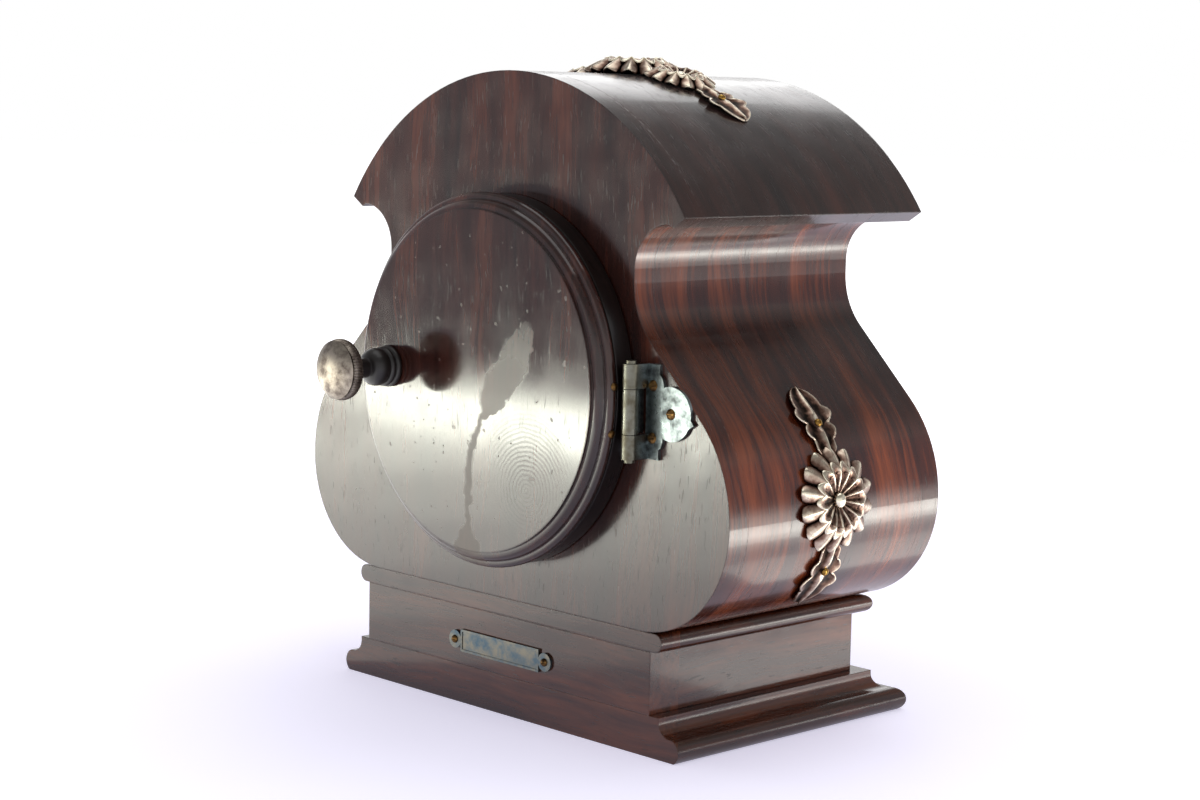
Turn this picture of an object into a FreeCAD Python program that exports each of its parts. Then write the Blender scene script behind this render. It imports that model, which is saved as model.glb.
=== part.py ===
import FreeCAD, Part
import math
import os

Vector = FreeCAD.Vector

# Case, in millimetres: X across the case, Y from the door face into the case, Z up
base_half = 78.8
base_depth = 105.3
base_height = 12.6
base_fillet = 1.2
base_cove = 4.4
base_step = 1.0
base_toe = 1.8
block_half = 66.5
block_depth = 91.4
block_height = 19.2
bead_half = 71.0
bead_depth = 96.2
bead_height = 5.7
bulge_half = 97.0
bulge_low_radius = 35.0
bulge_up_radius = 42.2
slope_angle = 45.0
waist_half = 56.5
waist_radius = 23.0
neck_length = 4.3
cove_radius = 13.6
eave_projection = 20.0
eave_drop = 1.0
roof_radius = 91.1
roof_thickness = 5.7
roof_depth = 107.0
body_depth = 94.7
panel_thickness = 8.0
side_thickness = 6.0
floor_thickness = 6.0

# Round door with its knob
opening_radius = 50.0
door_rise = 69.1
door_radius = 58.0
door_gap = 0.5
drum_depth = 6.5
drum_inset = 0.4
drum_wall = 7.0
rim_bead_radius = 1.6
rim_groove = 0.5
rim_ovolo_radius = 2.5
rim_quirk = 0.5
face_rise = 0.9
band_nail_radius = 1.3
band_nail_height = 0.7
band_nail_spacing = 14.0
knob_offset = 39.7
knob_rise = 1.2
stem_ring_radius = 6.6
stem_ring_height = 2.0
stem_bulb_radius = 6.0
stem_neck_radius = 3.2
stem_length = 18.0
head_radius = 9.7
head_rim_height = 3.5
head_groove = 0.5
head_dome_height = 3.0
knob_screw_radius = 1.5
knob_screw_grip = 8.0

# Butt hinge with a shield-shaped case leaf
pin_offset = 4.0
pin_depth = 6.0
pin_radius = 1.0
knuckle_radius = 2.5
hinge_length = 28.0
hinge_drop = 3.3
middle_knuckle = 13.2
knuckle_gap = 0.2
leaf_thickness = 1.1
leaf_strip = 5.4
shield_reach = 11.7
shield_radius = 8.0
lobe_radius = 4.3
lobe_spread = 15.4
door_leaf_reach = 9.0
hinge_screw_radius = 1.7
hinge_screw_height = 0.9

# Silvered mounts and the bare plate
flower_radius = 16.2
flower_petals = 14
flower_height = 4.6
flower_sink = 9.0
side_mount_rise = 4.3
side_mount_forward = 2.0
small_flower_radius = 12.0
small_flower_reach = 20.5
mount_thickness = 1.6
mount_leaf_length = 19.0
mount_leaf_width = 15.0
mount_leaf_lobes = 3
mount_pin_radius = 1.3
mount_pin_height = 1.0
plate_length = 37.0
plate_height = 7.2
plate_thickness = 0.8
plate_ear_radius = 2.9
plate_pin_spacing = 42.4
plate_border = 0.7
plate_drop = 1.7

# Movement: bedplate, cylinder and comb
bed_thickness = 4.0
bed_margin = 3.0
foot_height = 4.0
foot_radius = 4.5
axis_height = 19.0
cylinder_inset = 60.6
cylinder_start = -16.0
cylinder_length = 48.0
cylinder_radius = 11.0
cylinder_wall = 1.2
music_pin_radius = 0.2
music_pin_height = 0.7
music_pins_per_tooth = 3
cylinder_arbor_radius = 1.6
bridge_thickness = 4.0
bridge_half = 5.0
comb_teeth = 28
comb_edge = 2.0
comb_thickness = 2.4
comb_tip_thickness = 0.9
comb_slot = 0.45
comb_root = 8.5
longest_tooth = 18.0
shortest_tooth = 11.0
tip_gap = 0.15

# Gear train and spring barrel
train_module = 0.7
great_teeth = 48
pinion_teeth = 16
great_thickness = 3.0
pinion_length = 5.0
pinion_gap = 5.0
barrel_radius = 14.0
barrel_wall = 1.3
barrel_length = 24.0
barrel_cover_thickness = 1.5
winding_arbor_radius = 2.4
spring_thickness = 0.45
spring_pitch = 1.1
ratchet_teeth = 24
ratchet_radius = 8.0
ratchet_depth = 1.2
ratchet_thickness = 1.8
click_reach = 7.0
click_rise = 2.5
key_square = 3.2
key_wing_radius = 6.0
key_wing_thickness = 2.2
key_sleeve_radius = 3.6
key_sleeve_length = 9.0

# Governor and stop slide
governor_module = 0.5
wheel_teeth = 36
governor_teeth = 12
wheel_thickness = 2.0
worm_module = 0.6
worm_teeth = 14
worm_wheel_thickness = 1.2
worm_radius = 2.4
worm_turns = 5
worm_shaft_radius = 1.4
governor_arbor_radius = 1.2
governor_bracket_thickness = 3.0
governor_rise = 25.0
fan_radius = 5.0
fan_height = 8.0
fan_thickness = 0.5
slide_width = 5.0
slide_thickness = 1.2
slide_travel = 2.2

# Fits shared by all pieces
running_clearance = 0.04
close_clearance = 0.02
screw_clearance = 0.06
side_play = 0.8
tooth_share = 0.44
worm_share = 0.36
addendum = 0.8
dedendum = 1.15
pressure_angle = math.radians(20.0)
wood_screw_radius = 1.6
wood_screw_head = 3.2
wood_screw_length = 22.0
machine_screw_radius = 1.2
machine_screw_head = 2.2
machine_screw_height = 1.3

# Heights and planes that follow from the sizes above
door_plane = -base_depth / 2
bead_bottom = base_height + block_height
floor_bottom = bead_bottom + bead_height
floor_top = floor_bottom + floor_thickness
bulge_z = floor_bottom + bulge_low_radius
low_center = bulge_half - bulge_low_radius
up_center = bulge_half - bulge_up_radius
slope = math.radians(slope_angle)
slope_reach = up_center * math.cos(slope) + bulge_z * math.sin(slope) + bulge_up_radius
waist_center = waist_half + waist_radius
waist_z = (slope_reach + waist_radius - waist_center * math.cos(slope)) / math.sin(slope)
neck_top = waist_z + neck_length
cove_center = waist_half + cove_radius
eave_half = waist_half + eave_projection
eave_angle = math.asin(eave_half / roof_radius)
roof_inner = roof_radius - roof_thickness
eave_x = roof_inner * math.sin(eave_angle)
eave_z = neck_top + cove_radius - eave_drop
roof_center = eave_z - roof_inner * math.cos(eave_angle)
inside_front = door_plane + panel_thickness
inside_back = door_plane + body_depth - panel_thickness
inside_depth = inside_back - inside_front
door_z = floor_bottom + door_rise
pieces = {}
to_right = (1, 0, 0)
to_left = (-1, 0, 0)
up = (0, 0, 1)
down = (0, 0, -1)
inward = (0, 1, 0)
to_door = (0, -1, 0)


def keep(name, *solids):
    """Store the solids of one node."""
    pieces[name] = solids[0] if len(solids) == 1 else Part.makeCompound(list(solids))


def on_xz(y):
    return lambda x, z: Vector(x, y, z)


def on_yz(x):
    return lambda y, z: Vector(x, y, z)


def outline(place, start, *steps):
    """Closed wire; a step is a point for a line, or a middle and an end point for an arc."""
    edges = []
    here = start
    for step in steps + (start,):
        if isinstance(step[0], tuple):
            through, there = step
            edges.append(Part.Arc(place(*here), place(*through), place(*there)).toShape())
            here = there
        elif math.dist(here, step) > 1e-6:
            edges.append(Part.makeLine(place(*here), place(*step)))
            here = step
    return Part.Wire(edges)


def prism(wire, x=0.0, y=0.0, z=0.0):
    return Part.Face(wire).extrude(Vector(x, y, z))


def turned(wire, center, axis):
    return Part.Face(wire).revolve(center, axis, 360)


def block(low, high):
    size = [top - bottom for bottom, top in zip(low, high)]
    return Part.makeBox(size[0], size[1], size[2], Vector(*low))


def rod(start, direction, radius, length):
    return Part.makeCylinder(radius, length, Vector(*start), Vector(*direction))


def joined(first, *others):
    return first.multiFuse(list(others)).removeSplitter().Solids[0]


def polar(center, radius, degrees):
    angle = math.radians(degrees)
    return center[0] + radius * math.cos(angle), center[1] + radius * math.sin(angle)


def mirrored(shape):
    return shape.mirror(Vector(0, 0, 0), Vector(1, 0, 0))


def screw(seat, outward, head, height, shank, length):
    """Round-headed slotted screw; outward points from the seat to the top of the head."""
    profile = outline(
        lambda r, z: Vector(r, 0, z), (0, -length), (shank, -length), (shank, 0), (head, 0),
        ((head * 0.75, height * 0.7), (0, height)))
    body = turned(profile, Vector(0, 0, 0), Vector(0, 0, 1))
    slot = block((-head, -head * 0.14, height * 0.55), (head, head * 0.14, height * 1.1))
    made = body.cut(slot)
    made.Placement = FreeCAD.Placement(Vector(*seat), FreeCAD.Rotation(Vector(0, 0, 1), Vector(*outward)))
    return made


def sunk_screw(seat, outward, head, shank, length):
    """Countersunk wood screw whose flat head lies level with the seat."""
    profile = outline(
        lambda r, z: Vector(r, 0, z), (0, 0), (head, 0), (shank, shank - head), (shank, -length), (0,
        -length))
    made = turned(profile, Vector(0, 0, 0), Vector(0, 0, 1))
    made.Placement = FreeCAD.Placement(Vector(*seat), FreeCAD.Rotation(Vector(0, 0, 1), Vector(*outward)))
    return made


def gear_wire(x, center, teeth, module, share, phase):
    """Gear outline at x with involute flanks; a tooth stands at phase degrees, counted from +Y to +Z."""
    pitch_radius = module * teeth / 2
    base_radius = pitch_radius * math.cos(pressure_angle)
    tip_radius = pitch_radius + addendum * module
    root_radius = pitch_radius - dedendum * module
    low_radius = max(base_radius, root_radius)
    pitch_half = share * math.pi / teeth
    unwound = math.tan(pressure_angle) - pressure_angle

    def half_angle(radius):
        turn = math.acos(min(1.0, base_radius / radius))
        return math.degrees(pitch_half + unwound - math.tan(turn) + turn)

    def at(radius, degrees):
        y, z = polar(center, radius, degrees)
        return Vector(x, y, z)

    edges = []
    step = 360.0 / teeth
    middle_radius = (low_radius + tip_radius) / 2
    for index in range(teeth):
        axis = phase + index * step
        low, middle, tip = [half_angle(radius) for radius in (low_radius, middle_radius, tip_radius)]
        rise = (at(low_radius, axis - low), at(middle_radius, axis - middle), at(tip_radius, axis - tip))
        fall = (at(tip_radius, axis + tip), at(middle_radius, axis + middle), at(low_radius, axis + low))
        if root_radius < base_radius:
            edges.append(Part.makeLine(at(root_radius, axis - low), rise[0]))
        edges.append(Part.Arc(*rise).toShape())
        edges.append(Part.Arc(rise[2], at(tip_radius, axis), fall[0]).toShape())
        edges.append(Part.Arc(*fall).toShape())
        if root_radius < base_radius:
            edges.append(Part.makeLine(fall[2], at(root_radius, axis + low)))
        root_end = at(root_radius, axis + step - low)
        edges.append(Part.Arc(at(root_radius, axis + low), at(root_radius, axis + step / 2),
            root_end).toShape())
    return Part.Wire(edges)


def gear(start, thickness, center, teeth, module, share, phase):
    return prism(gear_wire(start, center, teeth, module, share, phase), x=thickness)


# Plinth: three stacked boards, moulded on both ends and the far side, flush on the door side
def edged_board(half, depth, edge):
    """Board whose edge profile returns round both ends and the far side."""
    across = on_xz(door_plane)
    along = on_yz(-half)
    low, high, right = edge(half)
    left = edge(-half)[2]
    ends = Part.Face(Part.Wire(
        [Part.makeLine(across(-low[0], low[1]), across(*low))] + right(across)
        + [Part.makeLine(across(*high), across(-high[0], high[1]))] + left(across)[::-1]))
    far_low, far_high, far = edge(door_plane + depth)
    section = Part.Face(Part.Wire(
        [Part.makeLine(along(door_plane, far_low[1]), along(*far_low))] + far(along)
        + [Part.makeLine(along(*far_high), along(door_plane, far_high[1])),
           Part.makeLine(along(door_plane, far_high[1]), along(door_plane, far_low[1]))]))
    return ends.extrude(Vector(0, depth, 0)).common(section.extrude(Vector(2 * half, 0, 0))).Solids[0]


def base_edge(outer):
    """Torus, step, cove and fillet, from the ground up."""
    side = math.copysign(1.0, outer)
    torus_top = base_height - base_fillet - base_cove
    toe = outer - side * base_toe
    shoulder = outer - side * base_toe * 1.6
    hollow = shoulder - side * base_step
    neck = hollow - side * base_cove
    bend = base_cove * (1 - math.sqrt(0.5))

    def edges(place):
        return [
            Part.Arc(place(toe, 0), place(outer, torus_top * 0.45), place(shoulder, torus_top)).toShape(),
            Part.makeLine(place(shoulder, torus_top), place(hollow, torus_top)),
            Part.Arc(
                place(hollow, torus_top), place(neck + side * bend, torus_top + bend),
                place(neck, torus_top + base_cove)).toShape(),
            Part.makeLine(place(neck, torus_top + base_cove), place(neck, base_height))]

    return (toe, 0), (neck, base_height), edges


def bead_edge(outer):
    """Half-round nose."""
    nose = bead_height / 2
    inner = outer - math.copysign(nose, outer)

    def edges(place):
        return [Part.Arc(
            place(inner, bead_bottom), place(outer, bead_bottom + nose), place(inner,
            floor_bottom)).toShape()]

    return (inner, bead_bottom), (inner, floor_bottom), edges


base_board = edged_board(base_half, base_depth, base_edge)
plinth_block = block((-block_half, door_plane, base_height), (block_half, door_plane + block_depth,
    bead_bottom))
bead_board = edged_board(bead_half, bead_depth, bead_edge)


# Case outline: bulge, slope, waist, neck, cove and eave of the right-hand side
def side_edges(inset, y):
    """Right side curve from the floor to the top of the neck, moved inwards by inset."""
    place = on_xz(y)

    def arc(center, radius, first, last):
        ends = [place(*polar(center, radius, angle)) for angle in (first, (first + last) / 2, last)]
        return Part.Arc(*ends).toShape()

    low = arc((low_center, bulge_z), bulge_low_radius - inset, -90, 0)
    high = arc((up_center, bulge_z), bulge_up_radius - inset, 0, slope_angle)
    waist = arc((waist_center, waist_z), waist_radius + inset, 180 + slope_angle, 180)
    straight = Part.makeLine(high.lastVertex().Point, waist.firstVertex().Point)
    neck = Part.makeLine(waist.lastVertex().Point, place(waist_half - inset, neck_top))
    return [low, high, straight, waist, neck]


cove_bend = cove_radius * math.sqrt(0.5)
cove_middle = (cove_center - cove_bend, neck_top + cove_bend)
cove_top = (cove_center, neck_top + cove_radius)


def body_panel(y, top_edges):
    """Flat board with the case outline; top_edges close it from the eave to the middle of the arch."""
    place = on_xz(y)
    half = [Part.makeLine(place(0, floor_bottom), place(low_center, floor_bottom))]
    half += side_edges(0, y)
    half.append(Part.Arc(place(waist_half, neck_top), place(*cove_middle), place(*cove_top)).toShape())
    half.append(Part.makeLine(place(*cove_top), place(eave_x, eave_z)))
    half += top_edges(place)
    edges = half + [mirrored(edge) for edge in half]
    wire = Part.Wire(Part.__sortEdges__(edges))
    return Part.Face(wire).extrude(Vector(0, panel_thickness, 0))


def arch_point(radius, share):
    return radius * math.sin(eave_angle * share), roof_center + radius * math.cos(eave_angle * share)


def outer_arch(place):
    rise = [place(*arch_point(roof_radius, share)) for share in (1, 0.5, 0)]
    return [Part.makeLine(place(eave_x, eave_z), rise[0]), Part.Arc(*rise).toShape()]


def inner_arch(place):
    return [Part.Arc(*[place(*arch_point(roof_inner, share)) for share in (1, 0.5, 0)]).toShape()]


def side_board():
    inner = side_edges(side_thickness, inside_front)
    outer = side_edges(0, inside_front)
    caps = [
        Part.makeLine(outer[0].firstVertex().Point, inner[0].firstVertex().Point),
        Part.makeLine(outer[-1].lastVertex().Point, inner[-1].lastVertex().Point)]
    wire = Part.Wire(Part.__sortEdges__(inner + outer + caps))
    return Part.Face(wire).extrude(Vector(0, inside_depth, 0))


def eave_cove():
    inner_x = waist_half - side_thickness
    inner_z = roof_center + math.sqrt(roof_inner ** 2 - inner_x ** 2)
    middle = math.atan2(inner_x, inner_z - roof_center) / 2 + eave_angle / 2
    arch_middle = (roof_inner * math.sin(middle), roof_center + roof_inner * math.cos(middle))
    wire = outline(
        on_xz(inside_front), (inner_x, neck_top), (waist_half, neck_top), (cove_middle, cove_top),
        (eave_x, eave_z),
        (arch_middle, (inner_x, inner_z)))
    return prism(wire, y=inside_depth)


def roof_board():
    tip = arch_point(roof_radius, 1)
    inner = arch_point(roof_inner, 1)
    wire = outline(
        on_xz(inside_front), inner, tip, (arch_point(roof_radius, 0), arch_point(roof_radius, -1)),
        arch_point(roof_inner, -1), (arch_point(roof_inner, 0), inner))
    return prism(wire, y=roof_depth - panel_thickness)


back_panel = body_panel(door_plane, outer_arch)
back_panel = back_panel.cut(rod((0, door_plane, door_z), inward, opening_radius, panel_thickness))
case_floor = block((-low_center, inside_front, floor_bottom), (low_center, inside_back, floor_top))
right_side = side_board()
right_cove = eave_cove()
keep("front_panel", body_panel(inside_back, inner_arch))
keep("right_eave_cove", right_cove)
keep("left_eave_cove", mirrored(right_cove))

# Movement axes and stations, from the left bridge of the barrel to the governor on the right
bed_bottom = floor_top + foot_height
bed_top = bed_bottom + bed_thickness
axis_z = bed_top + axis_height
cylinder_y = door_plane + cylinder_inset
barrel_y = cylinder_y - train_module * (great_teeth + pinion_teeth) / 2
governor_y = cylinder_y + governor_module * (wheel_teeth + governor_teeth) / 2
worm_y = governor_y - worm_module * worm_teeth / 2 - worm_radius
cylinder_end = cylinder_start + cylinder_length
pinion_end = cylinder_start - pinion_gap
pinion_start = pinion_end - pinion_length
great_start = pinion_start + (pinion_length - great_thickness) / 2
great_end = great_start + great_thickness
left_bridge_start = pinion_start - side_play - bridge_thickness
barrel_right_start = great_end + side_play
barrel_start = great_start - barrel_length
cover_start = barrel_start - barrel_cover_thickness
barrel_left_start = cover_start - side_play - bridge_thickness
ratchet_start = barrel_left_start - side_play / 2 - ratchet_thickness
key_end = ratchet_start - side_play
key_start = key_end - key_sleeve_length
wheel_start = cylinder_end + side_play
right_bridge_start = wheel_start + wheel_thickness + side_play * 2
right_bridge_end = right_bridge_start + bridge_thickness
worm_x = right_bridge_end + fan_radius + side_play
bracket_start = worm_x + fan_radius + side_play
bracket_end = bracket_start + governor_bracket_thickness
comb_tip = cylinder_y - cylinder_radius - music_pin_height - tip_gap
comb_front = comb_tip - longest_tooth - comb_root
comb_left = cylinder_start + comb_edge
comb_right = cylinder_end - comb_edge
great_tip = train_module * (great_teeth / 2 + addendum)
bed_left = barrel_left_start - bed_margin
bed_right = bracket_end + bed_margin
bed_front = min(comb_front, barrel_y - great_tip) - bed_margin
bed_back = governor_y + bridge_half + bed_margin
foot_inset = foot_radius + bed_margin / 2
foot_places = [
    (bed_left + foot_inset, bed_front + foot_inset), (bed_left + foot_inset, bed_back - foot_inset),
    (bed_right - foot_inset, bed_front + foot_inset), (worm_x, bed_back - foot_inset)]

# Soundboard, plinth and the screws that hold them; each hole is its screw plus a clearance
base_screw_places = [
    (x, y) for x in (-block_half * 0.75, block_half * 0.75)
    for y in (door_plane + block_depth * 0.2, door_plane + block_depth * 0.8)]
floor_screw_inset = wood_screw_head + bed_margin
floor_screw_places = [
    (x, y) for x in (-low_center * 0.8, low_center * 0.8)
    for y in (inside_front + floor_screw_inset, inside_back - floor_screw_inset)]
wood_screws = []
for x, y in base_screw_places:
    wood_screws.append(sunk_screw((x, y, 0), down, wood_screw_head, wood_screw_radius, wood_screw_length))
    hole = sunk_screw(
        (x, y, 0), down, wood_screw_head + screw_clearance, wood_screw_radius + screw_clearance,
        wood_screw_length + screw_clearance)
    base_board = base_board.cut(hole)
    plinth_block = plinth_block.cut(hole)
for x, y in floor_screw_places:
    wood_screws.append(
        sunk_screw((x, y, floor_top), up, wood_screw_head, wood_screw_radius, wood_screw_length))
    hole = sunk_screw(
        (x, y, floor_top), up, wood_screw_head + screw_clearance, wood_screw_radius + screw_clearance,
        wood_screw_length + screw_clearance)
    case_floor = case_floor.cut(hole)
    bead_board = bead_board.cut(hole)
    plinth_block = plinth_block.cut(hole)
keep("case_screws", *wood_screws)

# Bedplate on four turned feet, screwed down to the soundboard
bedplate = joined(
    block((bed_left, bed_front, bed_bottom), (bed_right, bed_back, bed_top)),
    *[rod((x, y, floor_top), up, foot_radius, foot_height) for x, y in foot_places])
bed_screw_length = bed_thickness + foot_height + floor_thickness * 0.7
movement_screws = []
for x, y in foot_places:
    movement_screws.append(screw(
        (x, y, bed_top), up, machine_screw_head, machine_screw_height, machine_screw_radius,
        bed_screw_length))
    hole = rod(
        (x, y, bed_top), down, machine_screw_radius + screw_clearance, bed_screw_length + screw_clearance)
    bedplate = bedplate.cut(hole)
    case_floor = case_floor.cut(hole)
keep("case_floor", case_floor)
keep("base_moulding", base_board)
keep("plinth_bead", bead_board)


def standing_screw(x, y, length):
    """Screw from under the bedplate up into a piece that stands on it; its head is let into the plate."""
    recess = machine_screw_height + screw_clearance
    seat = (x, y, bed_bottom + recess)
    tool = screw(seat, down, machine_screw_head, machine_screw_height, machine_screw_radius, length)
    hole = rod(seat, up, machine_screw_radius + screw_clearance, length + screw_clearance)
    well = rod((x, y, bed_bottom), up, machine_screw_head + screw_clearance, recess)
    return tool, hole.fuse(well)


def upright(start, low_y, high_y, thickness):
    """Brass bridge that stands on the bedplate, with a rounded top level with its bearings."""
    top = axis_z + bridge_half
    bend = bridge_half * (1 - math.sqrt(0.5))
    wire = outline(
        on_yz(start), (low_y, bed_top), (high_y, bed_top), (high_y, axis_z),
        ((high_y - bend, top - bend), (high_y - bridge_half, top)), (low_y + bridge_half, top),
        ((low_y + bend, top - bend), (low_y, axis_z)))
    return prism(wire, x=thickness)


bridges = {
    "left_bridge": upright(left_bridge_start, cylinder_y - bridge_half, cylinder_y + bridge_half,
    bridge_thickness),
    "right_bridge": upright(
        right_bridge_start, cylinder_y - bridge_half, governor_y + bridge_half, bridge_thickness),
    "barrel_bridge_right": upright(
        barrel_right_start, barrel_y - bridge_half, barrel_y + bridge_half, bridge_thickness)}
click_pivot = (barrel_y + click_reach, axis_z + ratchet_radius + click_rise)
click_plate_top = click_pivot[1] + bridge_half
click_plate_half = click_reach + bridge_half * 0.8
bridges["barrel_bridge_left"] = block(
    (barrel_left_start, barrel_y - click_plate_half, bed_top),
    (barrel_left_start + bridge_thickness, barrel_y + click_plate_half, click_plate_top))
upright_screw_length = bed_thickness + bridge_half
for name, bridge in bridges.items():
    bounds = bridge.BoundBox
    for y in (bounds.YMin + bridge_half * 0.5, bounds.YMax - bridge_half * 0.5):
        tool, hole = standing_screw((bounds.XMin + bounds.XMax) / 2, y, upright_screw_length)
        movement_screws.append(tool)
        bedplate = bedplate.cut(hole)
        bridges[name] = bridges[name].cut(hole)


def bearing(name, center_y, radius):
    bounds = bridges[name].BoundBox
    bore = rod((bounds.XMin, center_y, axis_z), to_right, radius + running_clearance, bounds.XLength)
    bridges[name] = bridges[name].cut(bore)


bearing("left_bridge", cylinder_y, cylinder_arbor_radius)
bearing("right_bridge", cylinder_y, cylinder_arbor_radius)
bearing("right_bridge", governor_y, governor_arbor_radius)
bearing("barrel_bridge_left", barrel_y, winding_arbor_radius)
bearing("barrel_bridge_right", barrel_y, winding_arbor_radius)

# Cylinder: brass tube with end discs, steel music pins, and an arbor cut with the driving pinion
cylinder_bore = cylinder_arbor_radius + close_clearance
tube_inner = cylinder_radius - cylinder_wall
cylinder_profile = outline(
    lambda r, x: Vector(x, cylinder_y, axis_z + r), (cylinder_bore, cylinder_start),
    (cylinder_radius, cylinder_start), (cylinder_radius, cylinder_end), (cylinder_bore, cylinder_end),
    (cylinder_bore, cylinder_end - cylinder_wall), (tube_inner, cylinder_end - cylinder_wall),
    (tube_inner, cylinder_start + cylinder_wall), (cylinder_bore, cylinder_start + cylinder_wall))
keep("cylinder", turned(cylinder_profile, Vector(0, cylinder_y, axis_z), Vector(1, 0, 0)))
comb_pitch = (comb_right - comb_left) / comb_teeth
music_pins = []
for tooth in range(comb_teeth):
    x = comb_left + comb_pitch * (tooth + 0.5)
    for note in range(music_pins_per_tooth):
        degrees = tooth * 137.5 + note * 360.0 / music_pins_per_tooth + (tooth * tooth + note) % 7 * 6.0
        y, z = polar((cylinder_y, axis_z), tube_inner, degrees)
        outward = (0, math.cos(math.radians(degrees)), math.sin(math.radians(degrees)))
        music_pins.append(rod((x, y, z), outward, music_pin_radius, cylinder_wall + music_pin_height))
keep("cylinder_pins", *music_pins)
arbor_start = left_bridge_start - side_play
arbor_end = right_bridge_end + side_play
keep("cylinder_arbor", joined(
    rod((arbor_start, cylinder_y, axis_z), to_right, cylinder_arbor_radius, arbor_end - arbor_start),
    gear(
        pinion_start, pinion_length, (cylinder_y, axis_z), pinion_teeth, train_module, tooth_share,
        180 + 180 / pinion_teeth)))
wheel = gear(wheel_start, wheel_thickness, (cylinder_y, axis_z), wheel_teeth, governor_module, tooth_share, 0)
keep("cylinder_wheel", wheel.cut(rod((wheel_start, cylinder_y, axis_z), to_right, cylinder_bore,
    wheel_thickness)))

# Comb: one steel plate slit into tapered teeth, screwed to a brass block
comb_low = axis_z - comb_thickness / 2
comb_high = axis_z + comb_thickness / 2
comb = block((comb_left, comb_front, comb_low), (comb_right, comb_tip, comb_high))
thinned = outline(
    on_yz(comb_left), (comb_front + comb_root, comb_low), (comb_tip, comb_low), (comb_tip,
    comb_high - comb_tip_thickness))
slots = [prism(thinned, x=comb_right - comb_left)]
for tooth in range(1, comb_teeth):
    length = longest_tooth + (shortest_tooth - longest_tooth) * tooth / comb_teeth
    x = comb_left + comb_pitch * tooth
    slots.append(block((x - comb_slot / 2, comb_tip - length, comb_low), (x + comb_slot / 2, comb_tip,
        comb_high)))
comb = comb.cut(Part.makeCompound(slots))
comb_block = block((comb_left, comb_front, bed_top), (comb_right, comb_front + comb_root, comb_low))
comb_screws = []
for share in (0.08, 0.36, 0.64, 0.92):
    x = comb_left + (comb_right - comb_left) * share
    y = comb_front + comb_root / 2
    length = comb_thickness + bridge_half
    comb_screws.append(screw(
        (x, y, comb_high), up, machine_screw_head, machine_screw_height, machine_screw_radius, length))
    hole = rod((x, y, comb_high), down, machine_screw_radius + screw_clearance, length + screw_clearance)
    comb = comb.cut(hole)
    comb_block = comb_block.cut(hole)
for share in (0.2, 0.8):
    x = comb_left + (comb_right - comb_left) * share
    tool, hole = standing_screw(x, comb_front + comb_root / 2, upright_screw_length)
    movement_screws.append(tool)
    bedplate = bedplate.cut(hole)
    comb_block = comb_block.cut(hole)
keep("comb", comb)
keep("comb_base", comb_block)
keep("comb_screws", *comb_screws)

# Spring barrel with its toothed great wheel, cover and coiled mainspring
barrel_inner = barrel_radius - barrel_wall
barrel_bore = winding_arbor_radius + running_clearance
barrel_axis = Vector(0, barrel_y, axis_z)
barrel_profile = outline(
    lambda r, x: Vector(x, barrel_y, axis_z + r), (barrel_bore, great_start), (barrel_radius, great_start),
    (barrel_radius, barrel_start), (barrel_inner, barrel_start), (barrel_inner, great_start - barrel_wall),
    (barrel_bore, great_start - barrel_wall))
keep("barrel", turned(barrel_profile, barrel_axis, Vector(1, 0, 0)))
cover = rod((cover_start, barrel_y, axis_z), to_right, barrel_radius, barrel_cover_thickness)
keep("barrel_cover", cover.cut(rod((cover_start, barrel_y, axis_z), to_right, barrel_bore,
    barrel_cover_thickness)))
great = gear(great_start, great_thickness, (barrel_y, axis_z), great_teeth, train_module, tooth_share, 0)
keep("great_wheel", great.cut(rod((great_start, barrel_y, axis_z), to_right, barrel_bore, great_thickness)))


def mainspring():
    """Ribbon wound in half circles that grow by half a pitch, from near the arbor to near the barrel wall."""
    first = winding_arbor_radius + spring_pitch
    half_turns = int((barrel_inner - spring_pitch - first) / (spring_pitch / 2))
    start = barrel_start + side_play
    edges = []
    for extra in (0.0, spring_thickness):
        for index in range(half_turns):
            side = 1 - 2 * (index % 2)
            near = first + extra + index * spring_pitch / 2
            far = near + spring_pitch / 2
            middle = (barrel_y + side * (near - far) / 2, axis_z + side * (near + far) / 2)
            edges.append(Part.Arc(
                Vector(start, barrel_y + side * near, axis_z), Vector(start, *middle),
                Vector(start, barrel_y - side * far, axis_z)).toShape())
    inner, outer = edges[:half_turns], edges[half_turns:]
    caps = [
        Part.makeLine(inner[0].firstVertex(True).Point, outer[0].firstVertex(True).Point),
        Part.makeLine(inner[-1].lastVertex(True).Point, outer[-1].lastVertex(True).Point)]
    wire = Part.Wire(Part.__sortEdges__(edges + caps))
    return prism(wire, x=barrel_length - barrel_wall - 2 * side_play)


keep("mainspring", mainspring())

# Winding arbor with its squared end, ratchet wheel and wing key
arbor_right = barrel_right_start + bridge_thickness + side_play
round_arbor = rod((ratchet_start, barrel_y, axis_z), to_right, winding_arbor_radius,
    arbor_right - ratchet_start)
square_half = key_square / 2
square_end = block(
    (key_start + key_sleeve_length * 0.2, barrel_y - square_half, axis_z - square_half),
    (ratchet_start, barrel_y + square_half, axis_z + square_half))
keep("winding_arbor", joined(round_arbor, square_end))


def ratchet_wire(x):
    """Saw teeth: each has a radial catch face and a long sloping back."""
    points = []
    step = 360.0 / ratchet_teeth
    for index in range(ratchet_teeth):
        face = 90 - step * index
        points.append(polar((barrel_y, axis_z), ratchet_radius, face))
        points.append(polar((barrel_y, axis_z), ratchet_radius - ratchet_depth, face))
    return outline(on_yz(x), *points)


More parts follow.
